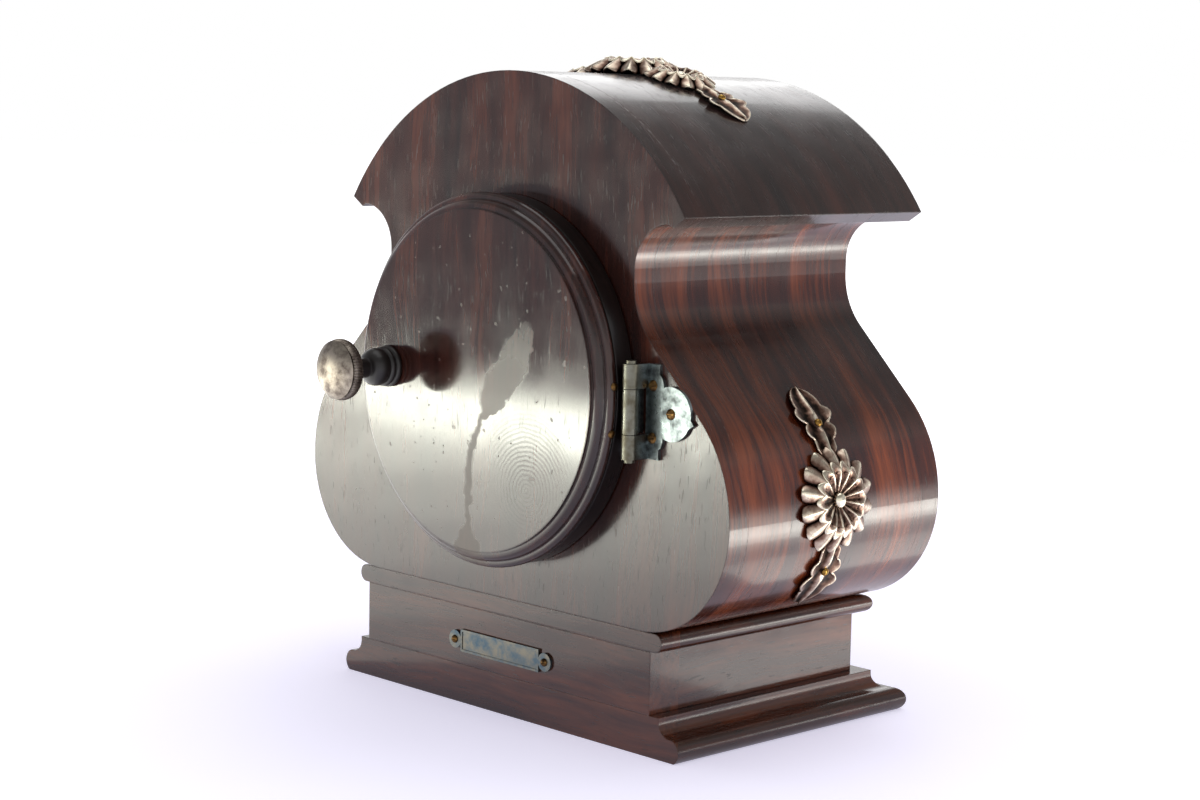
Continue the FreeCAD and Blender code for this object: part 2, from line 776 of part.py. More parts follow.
ratchet = prism(ratchet_wire(ratchet_start), x=ratchet_thickness)
keep("ratchet_wheel", ratchet.cut(rod(
    (ratchet_start, barrel_y, axis_z), to_right, winding_arbor_radius + close_clearance, ratchet_thickness)))
sleeve = rod((key_start, barrel_y, axis_z), to_right, key_sleeve_radius, key_sleeve_length)
wing_x = key_start - key_wing_radius * 0.6
wings = []
for side in (-1, 1):
    wing_z = axis_z + side * key_wing_radius * 1.1
    wing = rod((wing_x, barrel_y - key_wing_thickness / 2, wing_z), inward, key_wing_radius,
        key_wing_thickness)
    eye = rod((wing_x, barrel_y - key_wing_thickness / 2, wing_z), inward, key_wing_radius / 2,
        key_wing_thickness)
    wings.append(wing.cut(eye))
shank = rod((wing_x - key_wing_radius * 0.3, barrel_y, axis_z), to_right, key_sleeve_radius * 0.7,
    key_wing_radius)
socket_half = square_half + screw_clearance
socket = block(
    (key_start + key_sleeve_length * 0.2 - screw_clearance, barrel_y - socket_half, axis_z - socket_half),
    (key_end, barrel_y + socket_half, axis_z + socket_half))
keep("winding_key", joined(sleeve, shank, *wings).cut(socket))

# Click, its shouldered screw and its blade spring on the outer face of the left barrel bridge
click_hub = click_rise * 0.9
click_nose = (barrel_y, axis_z + ratchet_radius + tip_gap)
click_back = (click_nose[0] + ratchet_depth * 0.2, click_nose[1] + ratchet_depth)
click_hollow = (click_nose[0] + ratchet_depth * 1.8, click_nose[1] + ratchet_depth)
hub_left = click_pivot[0] - click_hub * 0.2
click_wire = outline(
    on_yz(ratchet_start), click_nose, click_hollow, (hub_left, click_pivot[1] - click_hub),
    ((click_pivot[0] + click_hub, click_pivot[1]), (hub_left, click_pivot[1] + click_hub)), click_back)
pivot_radius = machine_screw_radius
click_bore = rod(
    (ratchet_start, *click_pivot), to_right, pivot_radius + running_clearance, ratchet_thickness + side_play)
keep("click", prism(click_wire, x=ratchet_thickness).cut(click_bore))
pivot_length = ratchet_thickness + side_play / 2 + bridge_thickness
keep("click_screw", screw(
    (ratchet_start - running_clearance, *click_pivot), to_left, machine_screw_head, machine_screw_height,
    pivot_radius, pivot_length))
pivot_hole = rod(
    (barrel_left_start, *click_pivot), to_right, pivot_radius + running_clearance, bridge_thickness)
bridges["barrel_bridge_left"] = bridges["barrel_bridge_left"].cut(pivot_hole)
blade_low = click_pivot[1] + click_hub + tip_gap
blade = block(
    (ratchet_start, barrel_y - click_plate_half, blade_low),
    (ratchet_start + ratchet_thickness, click_pivot[0] - click_hub * 0.5, blade_low + spring_thickness))
blade_foot = block(
    (ratchet_start, barrel_y - click_plate_half, blade_low - click_rise),
    (barrel_left_start, barrel_y - click_plate_half + bridge_half * 0.8, blade_low + spring_thickness))
keep("click_spring", joined(blade, blade_foot))

# Governor: arbor with its pinion, worm wheel, endless screw and two-winged fan in one bracket
governor_start = wheel_start - side_play / 2
governor_end = bracket_end + side_play
governor_pinion = gear(
    governor_start, wheel_thickness + side_play, (governor_y, axis_z), governor_teeth, governor_module,
    tooth_share,
    180 + 180 / governor_teeth)
keep("governor_arbor", joined(
    rod((governor_start, governor_y, axis_z), to_right, governor_arbor_radius, governor_end - governor_start),
    governor_pinion))
worm_wheel_start = worm_x - worm_wheel_thickness / 2
worm_wheel = gear(
    worm_wheel_start, worm_wheel_thickness, (governor_y, axis_z), worm_teeth, worm_module, worm_share, 180)
keep("worm_wheel", worm_wheel.cut(rod(
    (worm_wheel_start, governor_y, axis_z), to_right, governor_arbor_radius + close_clearance,
    worm_wheel_thickness)))
worm_pitch = math.pi * worm_module
worm_length = worm_turns * worm_pitch
worm_start = axis_z - worm_length / 2
worm_tip = worm_radius + addendum * worm_module
worm_root = worm_radius - dedendum * worm_module
arm_half = worm_tip
arm_height = governor_bracket_thickness
lower_arm = worm_start - side_play * 3 - arm_height
upper_arm = axis_z + governor_rise - arm_height


def thread():
    """Single-start thread: its cross-section is twisted one turn for each pitch."""
    def at(radius, side):
        thickness = worm_share * worm_pitch + 2 * (worm_radius - radius) * math.tan(pressure_angle)
        angle = math.pi / 2 + side * math.pi * thickness / worm_pitch
        return Vector(worm_x + radius * math.cos(angle), worm_y + radius * math.sin(angle), worm_start)

    middle = (worm_root + worm_tip) / 2
    section = Part.Wire([
        Part.Arc(at(worm_tip, -1), at(worm_tip, 0), at(worm_tip, 1)).toShape(),
        Part.Arc(at(worm_tip, 1), at(middle, 1), at(worm_root, 1)).toShape(),
        Part.Arc(
            at(worm_root, 1), Vector(worm_x, worm_y - worm_root, worm_start), at(worm_root, -1)).toShape(),
        Part.Arc(at(worm_root, -1), at(middle, -1), at(worm_tip, -1)).toShape()])
    foot = Vector(worm_x, worm_y, worm_start)
    spine = Part.Wire([Part.makeLine(foot, foot + Vector(0, 0, worm_length))])
    guide = Part.makeHelix(worm_pitch, worm_length, worm_tip * 2)
    guide.translate(foot)
    sweep = Part.BRepOffsetAPI.MakePipeShell(spine)
    sweep.setAuxiliarySpine(Part.Wire(guide.Edges), True, 0)
    sweep.add(section)
    sweep.build()
    sweep.makeSolid()
    return sweep.shape()


pivot = worm_shaft_radius * 0.65
shaft_low = lower_arm + arm_height + tip_gap
shaft_high = upper_arm - tip_gap
keep("endless_screw", thread().multiFuse([
    rod((worm_x, worm_y, shaft_low), up, worm_shaft_radius, worm_start - shaft_low),
    rod((worm_x, worm_y, worm_start + worm_length), up, worm_shaft_radius,
    shaft_high - worm_start - worm_length),
    rod((worm_x, worm_y, lower_arm), up, pivot, shaft_low - lower_arm),
    rod((worm_x, worm_y, shaft_high), up, pivot, upper_arm + arm_height - shaft_high)]).Solids[0])
fan_start = upper_arm - side_play - fan_height
fan_hub = worm_shaft_radius + fan_thickness
fan = joined(
    rod((worm_x, worm_y, fan_start), up, fan_hub, fan_height),
    block(
        (worm_x - fan_radius, worm_y - fan_thickness / 2, fan_start),
        (worm_x + fan_radius, worm_y + fan_thickness / 2, fan_start + fan_height)))
keep("fan", fan.cut(rod(
    (worm_x, worm_y, fan_start), up, worm_shaft_radius + close_clearance, fan_height)))
bracket = joined(
    block(
        (bracket_start, worm_y - arm_half, bed_top),
        (bracket_end, governor_y + bridge_half, axis_z + governor_rise)),
    *[block((worm_x - arm_half, worm_y - arm_half, z), (bracket_start, worm_y + arm_half, z + arm_height))
      for z in (lower_arm, upper_arm)])
for z in (lower_arm, upper_arm):
    bracket = bracket.cut(rod((worm_x, worm_y, z), up, pivot + running_clearance, arm_height))
bracket = bracket.cut(rod(
    (bracket_start, governor_y, axis_z), to_right, governor_arbor_radius + running_clearance,
    governor_bracket_thickness))
for y in (worm_y, governor_y + bridge_half * 0.4):
    tool, hole = standing_screw((bracket_start + bracket_end) / 2, y, upright_screw_length)
    movement_screws.append(tool)
    bedplate = bedplate.cut(hole)
    bracket = bracket.cut(hole)
keep("governor_bracket", bracket)

# Stop slide: a flat strip under two shouldered screws, with a thumb tab and a finger that stops the fan
finger_back = worm_y - fan_radius - side_play
slide_front = bed_front - slide_width
slide_low = bed_top + running_clearance
slide_high = slide_low + slide_thickness
finger_high = fan_start + fan_height * 0.6
slide_screw_radius = machine_screw_radius
slide = joined(
    block((worm_x - slide_width / 2, slide_front, slide_low), (worm_x + slide_width / 2, finger_back,
    slide_high)),
    block(
        (worm_x - slide_width * 0.3, finger_back - slide_thickness, slide_low),
        (worm_x + slide_width * 0.3, finger_back, finger_high)),
    block(
        (worm_x - slide_width / 2, slide_front, slide_low),
        (worm_x + slide_width / 2, slide_front + slide_thickness, slide_low + slide_width * 1.6)))
slide_screws = []
slide_length = finger_back - bed_front
for share in (0.3, 0.65):
    y = bed_front + slide_length * share
    wide = slide_screw_radius + screw_clearance
    slot = joined(
        block((worm_x - wide, y - slide_travel, slide_low), (worm_x + wide, y, slide_high)),
        rod((worm_x, y, slide_low), up, wide, slide_thickness),
        rod((worm_x, y - slide_travel, slide_low), up, wide, slide_thickness))
    slide = slide.cut(slot)
    seat = slide_high + running_clearance
    depth = seat - bed_top + bed_thickness * 0.7
    slide_screws.append(screw(
        (worm_x, y, seat), up, machine_screw_head, machine_screw_height, slide_screw_radius, depth))
    bedplate = bedplate.cut(rod(
        (worm_x, y, seat), down, slide_screw_radius + screw_clearance, depth + screw_clearance))
keep("stop_slide", slide)
keep("stop_slide_screws", *slide_screws)
keep("bedplate", bedplate)
keep("movement_screws", *movement_screws)
for name, bridge in bridges.items():
    keep(name, bridge)

# Round door: a drum on the case face and a turned disc with a bead, a groove and an ovolo round its flat face
drum_radius = door_radius - drum_inset
drum_front = door_plane - door_gap - drum_depth
door_center = Vector(0, 0, door_z)
rim_depth = door_gap + drum_depth
ovolo_start = door_radius - rim_bead_radius - rim_groove
ovolo_depth = rim_depth + 2 * rim_bead_radius
face_radius = ovolo_start - rim_ovolo_radius - rim_quirk
ovolo_end = ovolo_start - rim_ovolo_radius
ovolo_bend = rim_ovolo_radius * math.sqrt(0.5)
face_depth = ovolo_depth + rim_ovolo_radius + face_rise
door_profile = outline(
    lambda r, depth: Vector(r, door_plane - depth, door_z), (0, rim_depth),
    (door_radius - rim_bead_radius, rim_depth),
    ((door_radius, rim_depth + rim_bead_radius), (door_radius - rim_bead_radius, ovolo_depth)),
    (ovolo_start, ovolo_depth),
    ((ovolo_end + ovolo_bend, ovolo_depth + ovolo_bend), (ovolo_end, ovolo_depth + rim_ovolo_radius)),
    (face_radius, ovolo_depth + rim_ovolo_radius), (face_radius, face_depth), (0, face_depth))
door_face = turned(door_profile, door_center, Vector(0, 1, 0))
drum = rod((0, drum_front, door_z), inward, drum_radius, drum_depth)
drum = drum.cut(rod((0, drum_front, door_z), inward, drum_radius - drum_wall, drum_depth))

# Brass nails through the end of the drum's bent band, near the hinge
band_nails = []
hinge_z = door_z - hinge_drop
nail_depth = rim_depth + rim_bead_radius
for side in (-1, 1):
    z = hinge_z + side * band_nail_spacing / 2
    x = math.sqrt(door_radius ** 2 - (z - door_z) ** 2)
    outward = (x / door_radius, 0, (z - door_z) / door_radius)
    seat = (x, door_plane - nail_depth, z)
    shank = band_nail_radius * 0.5
    length = rim_bead_radius * 3
    band_nails.append(screw(seat, outward, band_nail_radius, band_nail_height, shank, length))
    into = [-value for value in outward]
    door_face = door_face.cut(rod(seat, into, shank + screw_clearance, length + screw_clearance))
keep("door_band_nails", *band_nails)

# Pull knob: turned dark stem, silvered button head and the screw from inside the door
knob_x = -knob_offset
knob_z = door_z + knob_rise
knob_axis = Vector(knob_x, 0, knob_z)


def knob_place(r, rise):
    return Vector(knob_x + r, door_plane - face_depth - rise, knob_z)


ring_half = stem_ring_height / 2
ring_inner = stem_ring_radius - ring_half
bulb_low = stem_ring_height * 2
bulb_high = bulb_low + stem_bulb_radius
flare = stem_neck_radius + ring_half
stem_profile = outline(
    knob_place, (0, 0), (ring_inner, 0), ((stem_ring_radius, ring_half), (ring_inner, stem_ring_height)),
    ((stem_ring_radius - ring_half * 0.3, stem_ring_height + ring_half), (ring_inner, bulb_low)),
    ((stem_bulb_radius, bulb_low + stem_bulb_radius * 0.3), (stem_neck_radius, bulb_high)),
    (stem_neck_radius, stem_length - ring_half), ((stem_neck_radius + ring_half * 0.3,
    stem_length - ring_half * 0.3),
                                                  (flare, stem_length)), (0, stem_length))
knob_stem = turned(stem_profile, knob_axis, Vector(0, 1, 0))
dome_low = stem_length + head_rim_height + head_groove
dome_radius = head_radius - head_groove
head_profile = outline(
    knob_place, (0, stem_length), (head_radius - head_groove, stem_length),
    ((head_radius, stem_length + head_rim_height / 2), (head_radius - head_groove,
    stem_length + head_rim_height)),
    (head_radius - head_groove * 2, stem_length + head_rim_height), (head_radius - head_groove * 2, dome_low),
    (dome_radius, dome_low),
    ((dome_radius * 0.75, dome_low + head_dome_height * 0.62), (dome_radius * 0.4,
    dome_low + head_dome_height)),
    (0, dome_low + head_dome_height))
keep("knob_head", turned(head_profile, knob_axis, Vector(0, 1, 0)))
knob_seat = (knob_x, door_plane - rim_depth, knob_z)
knob_screw_length = face_depth - rim_depth + knob_screw_grip
keep("knob_screw", screw(
    knob_seat, inward, knob_screw_radius * 2, knob_screw_radius, knob_screw_radius, knob_screw_length))
knob_hole = rod(knob_seat, to_door, knob_screw_radius + screw_clearance, knob_screw_length + screw_clearance)
keep("knob_stem", knob_stem.cut(knob_hole))
keep("door_face", door_face.cut(knob_hole))

# Hinge: the case leaf has a shield with three screws, the door leaf hides behind the drum
pin_x = door_radius + pin_offset
pin_y = door_plane - pin_depth
hinge_low = hinge_z - hinge_length / 2
end_knuckle = (hinge_length - middle_knuckle) / 2 - knuckle_gap
knuckle_bore = pin_radius + running_clearance


def knuckle(low, height):
    barrel = rod((pin_x, pin_y, low), up, knuckle_radius, height)
    return barrel.cut(rod((pin_x, pin_y, low), up, knuckle_bore, height))


def shank_hole(seat, outward, radius, length):
    into = [-value for value in outward]
    return rod(seat, into, radius + screw_clearance, length + screw_clearance)


leaf_face = door_plane - leaf_thickness
strip_left = pin_x + pin_radius * 1.5
strip_right = strip_left + leaf_strip
shield_x = pin_x + shield_reach
web_right = pin_x + knuckle_radius
lobe_x = web_right + hinge_screw_radius + screw_clearance
lobes = [
    rod((lobe_x, leaf_face, hinge_z + side * lobe_spread / 2), inward, lobe_radius, leaf_thickness)
    for side in (-1, 1)]
tip_x = shield_x + shield_radius * 1.15
shield_point = prism(outline(
    on_xz(leaf_face), (shield_x, hinge_z - shield_radius), (tip_x, hinge_z - shield_radius * 0.3),
    (shield_x, hinge_z + shield_radius)), y=leaf_thickness)
plate = joined(
    block((strip_left, leaf_face, hinge_low), (strip_right, door_plane, hinge_low + hinge_length)),
    block(
        (strip_left, leaf_face, hinge_z - shield_radius * 0.7),
        (shield_x, door_plane, hinge_z + shield_radius * 0.7)),
    rod((shield_x, leaf_face, hinge_z), inward, shield_radius, leaf_thickness),
    shield_point, *lobes)
plate = plate.common(block(
    (strip_left, leaf_face, hinge_low), (tip_x, door_plane, hinge_low + hinge_length)))
case_leaf = plate
for low in (hinge_low, hinge_low + hinge_length - end_knuckle):
    web = block((web_right - leaf_thickness, pin_y, low), (web_right, door_plane, low + end_knuckle))
    web = web.cut(rod((pin_x, pin_y, low), up, knuckle_bore, end_knuckle))
    case_leaf = joined(case_leaf, knuckle(low, end_knuckle), web)
leaf_screws = []
hinge_screw_shank = hinge_screw_radius * 0.5
hinge_screw_length = panel_thickness * 0.7 + leaf_thickness
for x, z in [(lobe_x, hinge_z - lobe_spread / 2), (lobe_x, hinge_z + lobe_spread / 2), (shield_x, hinge_z)]:
    seat = (x, leaf_face, z)
    leaf_screws.append(screw(
        seat, to_door, hinge_screw_radius, hinge_screw_height, hinge_screw_shank, hinge_screw_length))
    hole = shank_hole(seat, to_door, hinge_screw_shank, hinge_screw_length)
    case_leaf = case_leaf.cut(hole)
    back_panel = back_panel.cut(hole)
keep("hinge_case_leaf", case_leaf)
keep("hinge_screws", *leaf_screws)
cap_height = pin_radius
keep("hinge_pin", joined(
    rod((pin_x, pin_y, hinge_low - cap_height), up, pin_radius, hinge_length + 2 * cap_height),
    *[rod((pin_x, pin_y, z), up, pin_radius * 1.6, cap_height)
      for z in (hinge_low - cap_height, hinge_low + hinge_length)]))
door_leaf_left = door_radius - door_leaf_reach
door_leaf_back = door_plane - door_gap
door_leaf_front = door_leaf_back - leaf_thickness
middle_low = hinge_z - middle_knuckle / 2
door_leaf = joined(
    block((door_leaf_left, door_leaf_front, hinge_low), (drum_radius, door_leaf_back,
    hinge_low + hinge_length)),
    block((drum_radius, door_leaf_front, middle_low), (pin_x, door_leaf_back, middle_low + middle_knuckle)),
    block(
        (pin_x - leaf_thickness, pin_y + knuckle_radius - leaf_thickness / 2, middle_low),
        (pin_x, door_leaf_back, middle_low + middle_knuckle)),
    knuckle(middle_low, middle_knuckle))
drum = drum.cut(block(
    (door_leaf_left - screw_clearance, door_leaf_front - close_clearance, hinge_low - screw_clearance),
    (door_radius, door_plane, hinge_low + hinge_length + screw_clearance)))
door_leaf_screws = []
sunk_head = hinge_screw_shank + leaf_thickness * 0.8
for side in (-1, 1):
    seat = (door_leaf_left + sunk_head * 2, door_leaf_back, hinge_z + side * lobe_spread / 2)
    length = drum_depth * 0.8
    door_leaf_screws.append(sunk_screw(seat, inward, sunk_head, hinge_screw_shank, length))
    hole = sunk_screw(
        seat, inward, sunk_head + screw_clearance, hinge_screw_shank + screw_clearance,
        length + screw_clearance)
    door_leaf = door_leaf.cut(hole)
    drum = drum.cut(hole)
keep("hinge_door_leaf", door_leaf)
keep("hinge_leaf_screws", *door_leaf_screws)
keep("door_drum", drum)
keep("back_panel", back_panel)


# Mounts: daisy heads and lobed leaves, cut from a layer that hugs the case
def petal_wire(place, center, radius):
    """Ring of round petal ends."""
    steps = []
    step = 360.0 / flower_petals
    notch = radius * 0.9
    for index in range(flower_petals):
        middle = polar(center, radius, (index + 0.5) * step)
        steps.append((middle, polar(center, notch, (index + 1) * step)))
    return outline(place, polar(center, notch, 0), *steps)


def leaf_wire(place, center, start, side):
    """Lobed leaf that begins at start from the center and ends in a point; side is its direction."""
    lobe = mount_leaf_length / mount_leaf_lobes
    last = mount_leaf_lobes - 1

    def at(across, along):
        return center[0] + across, center[1] + side * (start + along)

    def notch(index):
        return mount_leaf_width * 0.34 * (1 - index / mount_leaf_lobes)

    def swell(index):
        return (notch(index) + notch(index + 1)) / 2 + lobe * 0.42

    steps = []
    for index in range(last):
        steps.append((at(swell(index), lobe * (index + 0.5)), at(notch(index + 1), lobe * (index + 1))))
    point = [at(turn * swell(last), lobe * (last + 0.3)) for turn in (1, -1)]
    steps += [point[0], at(0, mount_leaf_length), point[1], at(-notch(last), lobe * last)]
    for index in reversed(range(last)):
        steps.append((at(-swell(index), lobe * (index + 0.5)), at(-notch(index), lobe * index)))
    return outline(place, at(notch(0), 0), *steps)


def flower(radius, foot, outward):
    """Daisy head whose petals arch from a hollow middle over a crest and down to the case."""
    skirt = radius * 0.96
    boss = radius * 0.15
    hollow = flower_height * 0.45
    profile = outline(
        lambda r, z: Vector(r, 0, z), (0, -flower_sink), (skirt, -flower_sink), (skirt, 0),
        ((radius * 0.84, flower_height * 0.75), (radius * 0.68, flower_height)), (radius * 0.3, hollow),
        (boss, hollow), (boss, flower_height * 0.65), (0, flower_height * 0.85))
    petals = petal_wire(lambda x, y: Vector(x, y, -flower_sink * 0.9), (0, 0), radius * 0.88)
    made = turned(profile, Vector(0, 0, 0), Vector(0, 0, 1))
    made = made.common(prism(petals, z=flower_sink * 2))
    made.Placement = FreeCAD.Placement(Vector(*foot), FreeCAD.Rotation(Vector(0, 0, 1), Vector(*outward)))
    return made


def side_layer(outer):
    """Layer over the right side of the case, from a close fit out to the given offset."""
    edges = side_edges(-close_clearance, inside_front) + side_edges(-outer, inside_front)
    low, high = edges[0].firstVertex().Point, edges[5].firstVertex().Point
    neck_low, neck_high = edges[4].lastVertex().Point, edges[9].lastVertex().Point
    wire = Part.Wire(Part.__sortEdges__(
        edges + [Part.makeLine(low, high), Part.makeLine(neck_low, neck_high)]))
    return Part.Face(wire).extrude(Vector(0, inside_depth, 0))


def roof_layer(outer):
    """Layer over the arched roof, from a close fit out to the given offset."""
    start = (0, inside_front, roof_center)
    outside = rod(start, inward, roof_radius + outer, inside_depth)
    return outside.cut(rod(start, inward, roof_radius + close_clearance, inside_depth))


def surface_x(z):
    """Half width of the case at height z, on the bulge or the slope above it."""
    if z < bulge_z:
        return low_center + math.sqrt(bulge_low_radius ** 2 - (bulge_z - z) ** 2)
    round_top = bulge_z + bulge_up_radius * math.sin(slope)
    if z < round_top:
        return up_center + math.sqrt(bulge_up_radius ** 2 - (z - bulge_z) ** 2)
    return up_center + bulge_up_radius * math.cos(slope) - (z - round_top) * math.tan(slope)


def outward_at(z):
    rise = 0.01
    lean = (surface_x(z - rise) - surface_x(z + rise)) / (2 * rise)
    size = math.hypot(1.0, lean)
    return (1.0 / size, 0.0, lean / size)


# Side mounts: one daisy between two leaves
mount_y = door_plane + body_depth / 2 - side_mount_forward
mount_z = bulge_z + side_mount_rise
mount_outer = close_clearance + mount_thickness
leaf_start = flower_radius * 0.8
pin_share = 0.44
on_side = on_yz(low_center)
middle = (mount_y, mount_z)
side_wires = [petal_wire(on_side, middle, flower_radius)]
side_wires += [leaf_wire(on_side, middle, leaf_start, side) for side in (-1, 1)]
side_stamp = joined(*[prism(wire, x=bulge_half) for wire in side_wires])
side_flower = flower(flower_radius, (surface_x(mount_z), mount_y, mount_z), outward_at(mount_z))
side_flower = side_layer(flower_sink).common(side_flower).Solids[0]
side_mount = joined(side_layer(mount_outer).common(side_stamp).Solids[0], side_flower)
pin_shank = mount_pin_radius * 0.45
pin_length = mount_thickness + side_thickness * 0.6
mount_pins = []
for side in (-1, 1):
    z = mount_z + side * (leaf_start + mount_leaf_length * pin_share)
    outward = outward_at(z)
    foot = (surface_x(z), mount_y, z)
    seat = [value + mount_outer * way for value, way in zip(foot, outward)]
    pin = screw(seat, outward, mount_pin_radius, mount_pin_height, pin_shank, pin_length)
    hole = shank_hole(seat, outward, pin_shank, pin_length)
    side_mount = side_mount.cut(hole)
    right_side = right_side.cut(hole)
    mount_pins += [pin, mirrored(pin)]
keep("right_mount", side_mount)
keep("left_mount", mirrored(side_mount))
keep("right_side", right_side)
keep("left_side", mirrored(right_side))

# Mount on top of the arch: a large daisy between two smaller ones, with a leaf at each end
top_y = door_plane + roof_depth / 2
roof = roof_board()


def on_arch(x, height):
    """Place and outward direction over the middle of the roof, at the distance x from its crown."""
    lean = math.asin(x / roof_radius)
    outward = (math.sin(lean), 0.0, math.cos(lean))
    reach = roof_radius + height
    return (reach * outward[0], top_y, roof_center + reach * outward[2]), outward


def on_roof(y, x):
    return Vector(x, y, roof_center)


heads = [(0.0, flower_radius)] + [(side * small_flower_reach, small_flower_radius) for side in (-1, 1)]
leaf_start = small_flower_reach + small_flower_radius * 0.8
top_wires = [petal_wire(on_roof, (top_y, x), radius) for x, radius in heads]
top_wires += [leaf_wire(on_roof, (top_y, 0), leaf_start, side) for side in (-1, 1)]
top_stamp = joined(*[prism(wire, z=roof_radius * 1.2) for wire in top_wires])
top_flowers = [
    roof_layer(flower_sink).common(flower(radius, *on_arch(x, 0.0))).Solids[0] for x, radius in heads]
top_mount = joined(roof_layer(mount_outer).common(top_stamp).Solids[0], *top_flowers)
for side in (-1, 1):
    seat, outward = on_arch(side * (leaf_start + mount_leaf_length * pin_share), mount_outer)
    length = mount_thickness + roof_thickness * 0.6
    mount_pins.append(screw(seat, outward, mount_pin_radius, mount_pin_height, pin_shank, length))
    hole = shank_hole(seat, outward, pin_shank, length)
    top_mount = top_mount.cut(hole)
    roof = roof.cut(hole)
keep("top_mount", top_mount)
keep("roof", roof)
keep("mount_pins", *mount_pins)

# Bare plate on the plinth under the door, pinned at both ends
plate_z = base_height + block_height / 2 - plate_drop
plate_front = door_plane - plate_thickness
nameplate = joined(
    block(
        (-plate_length / 2, plate_front, plate_z - plate_height / 2),
        (plate_length / 2, door_plane, plate_z + plate_height / 2)),
    *[rod((side * plate_pin_spacing / 2, plate_front, plate_z), inward, plate_ear_radius, plate_thickness)
      for side in (-1, 1)])
nameplate = nameplate.cut(block(
    (-plate_length / 2 + plate_border, plate_front, plate_z - plate_height / 2 + plate_border),
    (plate_length / 2 - plate_border, plate_front + plate_thickness * 0.3,
    plate_z + plate_height / 2 - plate_border)))
plate_pins = []
for side in (-1, 1):
    seat = (side * plate_pin_spacing / 2, plate_front, plate_z)
    length = plate_thickness + panel_thickness * 0.5
    plate_pins.append(screw(seat, to_door, mount_pin_radius, mount_pin_height, pin_shank, length))
    hole = shank_hole(seat, to_door, pin_shank, length)
    nameplate = nameplate.cut(hole)
    plinth_block = plinth_block.cut(hole)
keep("nameplate", nameplate)
keep("nameplate_pins", *plate_pins)
keep("plinth_block", plinth_block)

os.makedirs("parts", exist_ok=True)
for name, shape in pieces.items():
    shape.exportStep(os.path.join("parts", name + ".step"))
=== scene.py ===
import math
import bmesh
import bpy
from mathutils import Matrix, Vector


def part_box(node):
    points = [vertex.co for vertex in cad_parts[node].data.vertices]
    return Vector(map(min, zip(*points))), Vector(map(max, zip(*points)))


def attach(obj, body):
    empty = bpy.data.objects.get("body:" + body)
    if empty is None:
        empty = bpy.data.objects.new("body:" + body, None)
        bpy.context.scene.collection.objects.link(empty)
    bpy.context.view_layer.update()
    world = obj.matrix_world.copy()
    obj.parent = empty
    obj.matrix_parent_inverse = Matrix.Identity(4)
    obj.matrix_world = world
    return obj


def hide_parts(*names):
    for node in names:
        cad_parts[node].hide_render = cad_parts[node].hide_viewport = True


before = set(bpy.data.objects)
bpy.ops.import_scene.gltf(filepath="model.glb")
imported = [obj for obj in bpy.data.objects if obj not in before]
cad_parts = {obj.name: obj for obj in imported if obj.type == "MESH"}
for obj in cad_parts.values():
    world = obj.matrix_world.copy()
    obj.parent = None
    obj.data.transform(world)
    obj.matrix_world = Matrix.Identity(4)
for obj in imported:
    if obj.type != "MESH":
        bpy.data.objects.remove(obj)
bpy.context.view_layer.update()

# Base, block and bead
# The case stands on a moulded base, a plain block and a half-round bead, softwood under rosewood veneer.
# The veneer runs along each length and meets in mitres at the corners; shellac gives it a high gloss.


def linear(colour):
    """Linear RGBA of an sRGB hex colour."""
    parts = [int(colour[index:index + 2], 16) / 255 for index in (1, 3, 5)]
    return [part / 12.92 if part <= 0.04045 else ((part + 0.055) / 1.055) ** 2.4 for part in parts] + [1.0]


def add(tree, kind, inputs, stops=(), **settings):
    """Adds a node; an input is a plain value or the output that feeds it, and stops fill a colour ramp."""
    node = tree.nodes.new("ShaderNode" + kind)
    if stops:
        ramp = node.color_ramp.elements
        ramp[0].position, ramp[1].position = stops[0][0], stops[-1][0]
        for place, colour in stops[1:-1]:
            ramp.new(place)
        for stop, (place, colour) in zip(ramp, stops):
            stop.color = colour if isinstance(colour, list) else [colour, colour, colour, 1.0]
    for name, value in settings.items():
        setattr(node, name, value)
    for name, value in inputs.items():
        if isinstance(value, bpy.types.NodeSocket):
            tree.links.new(value, node.inputs[name])
        else:
            node.inputs[name].default_value = value
    return node


def new_material(name):
    """Empty node material, its tree and the place on the object in metres."""
    material = bpy.data.materials.new(name)
    material.use_nodes = True
    tree = material.node_tree
    tree.nodes.clear()
    return material, tree, add(tree, "TexCoord", {}).outputs["Object"]


def along_grain(along, width, length):
    """Mapping scale that makes a noise pattern as wide and long as asked, its length along the named axes."""
    return [1 / length if axis in along else 1 / width for axis in "xyz"]


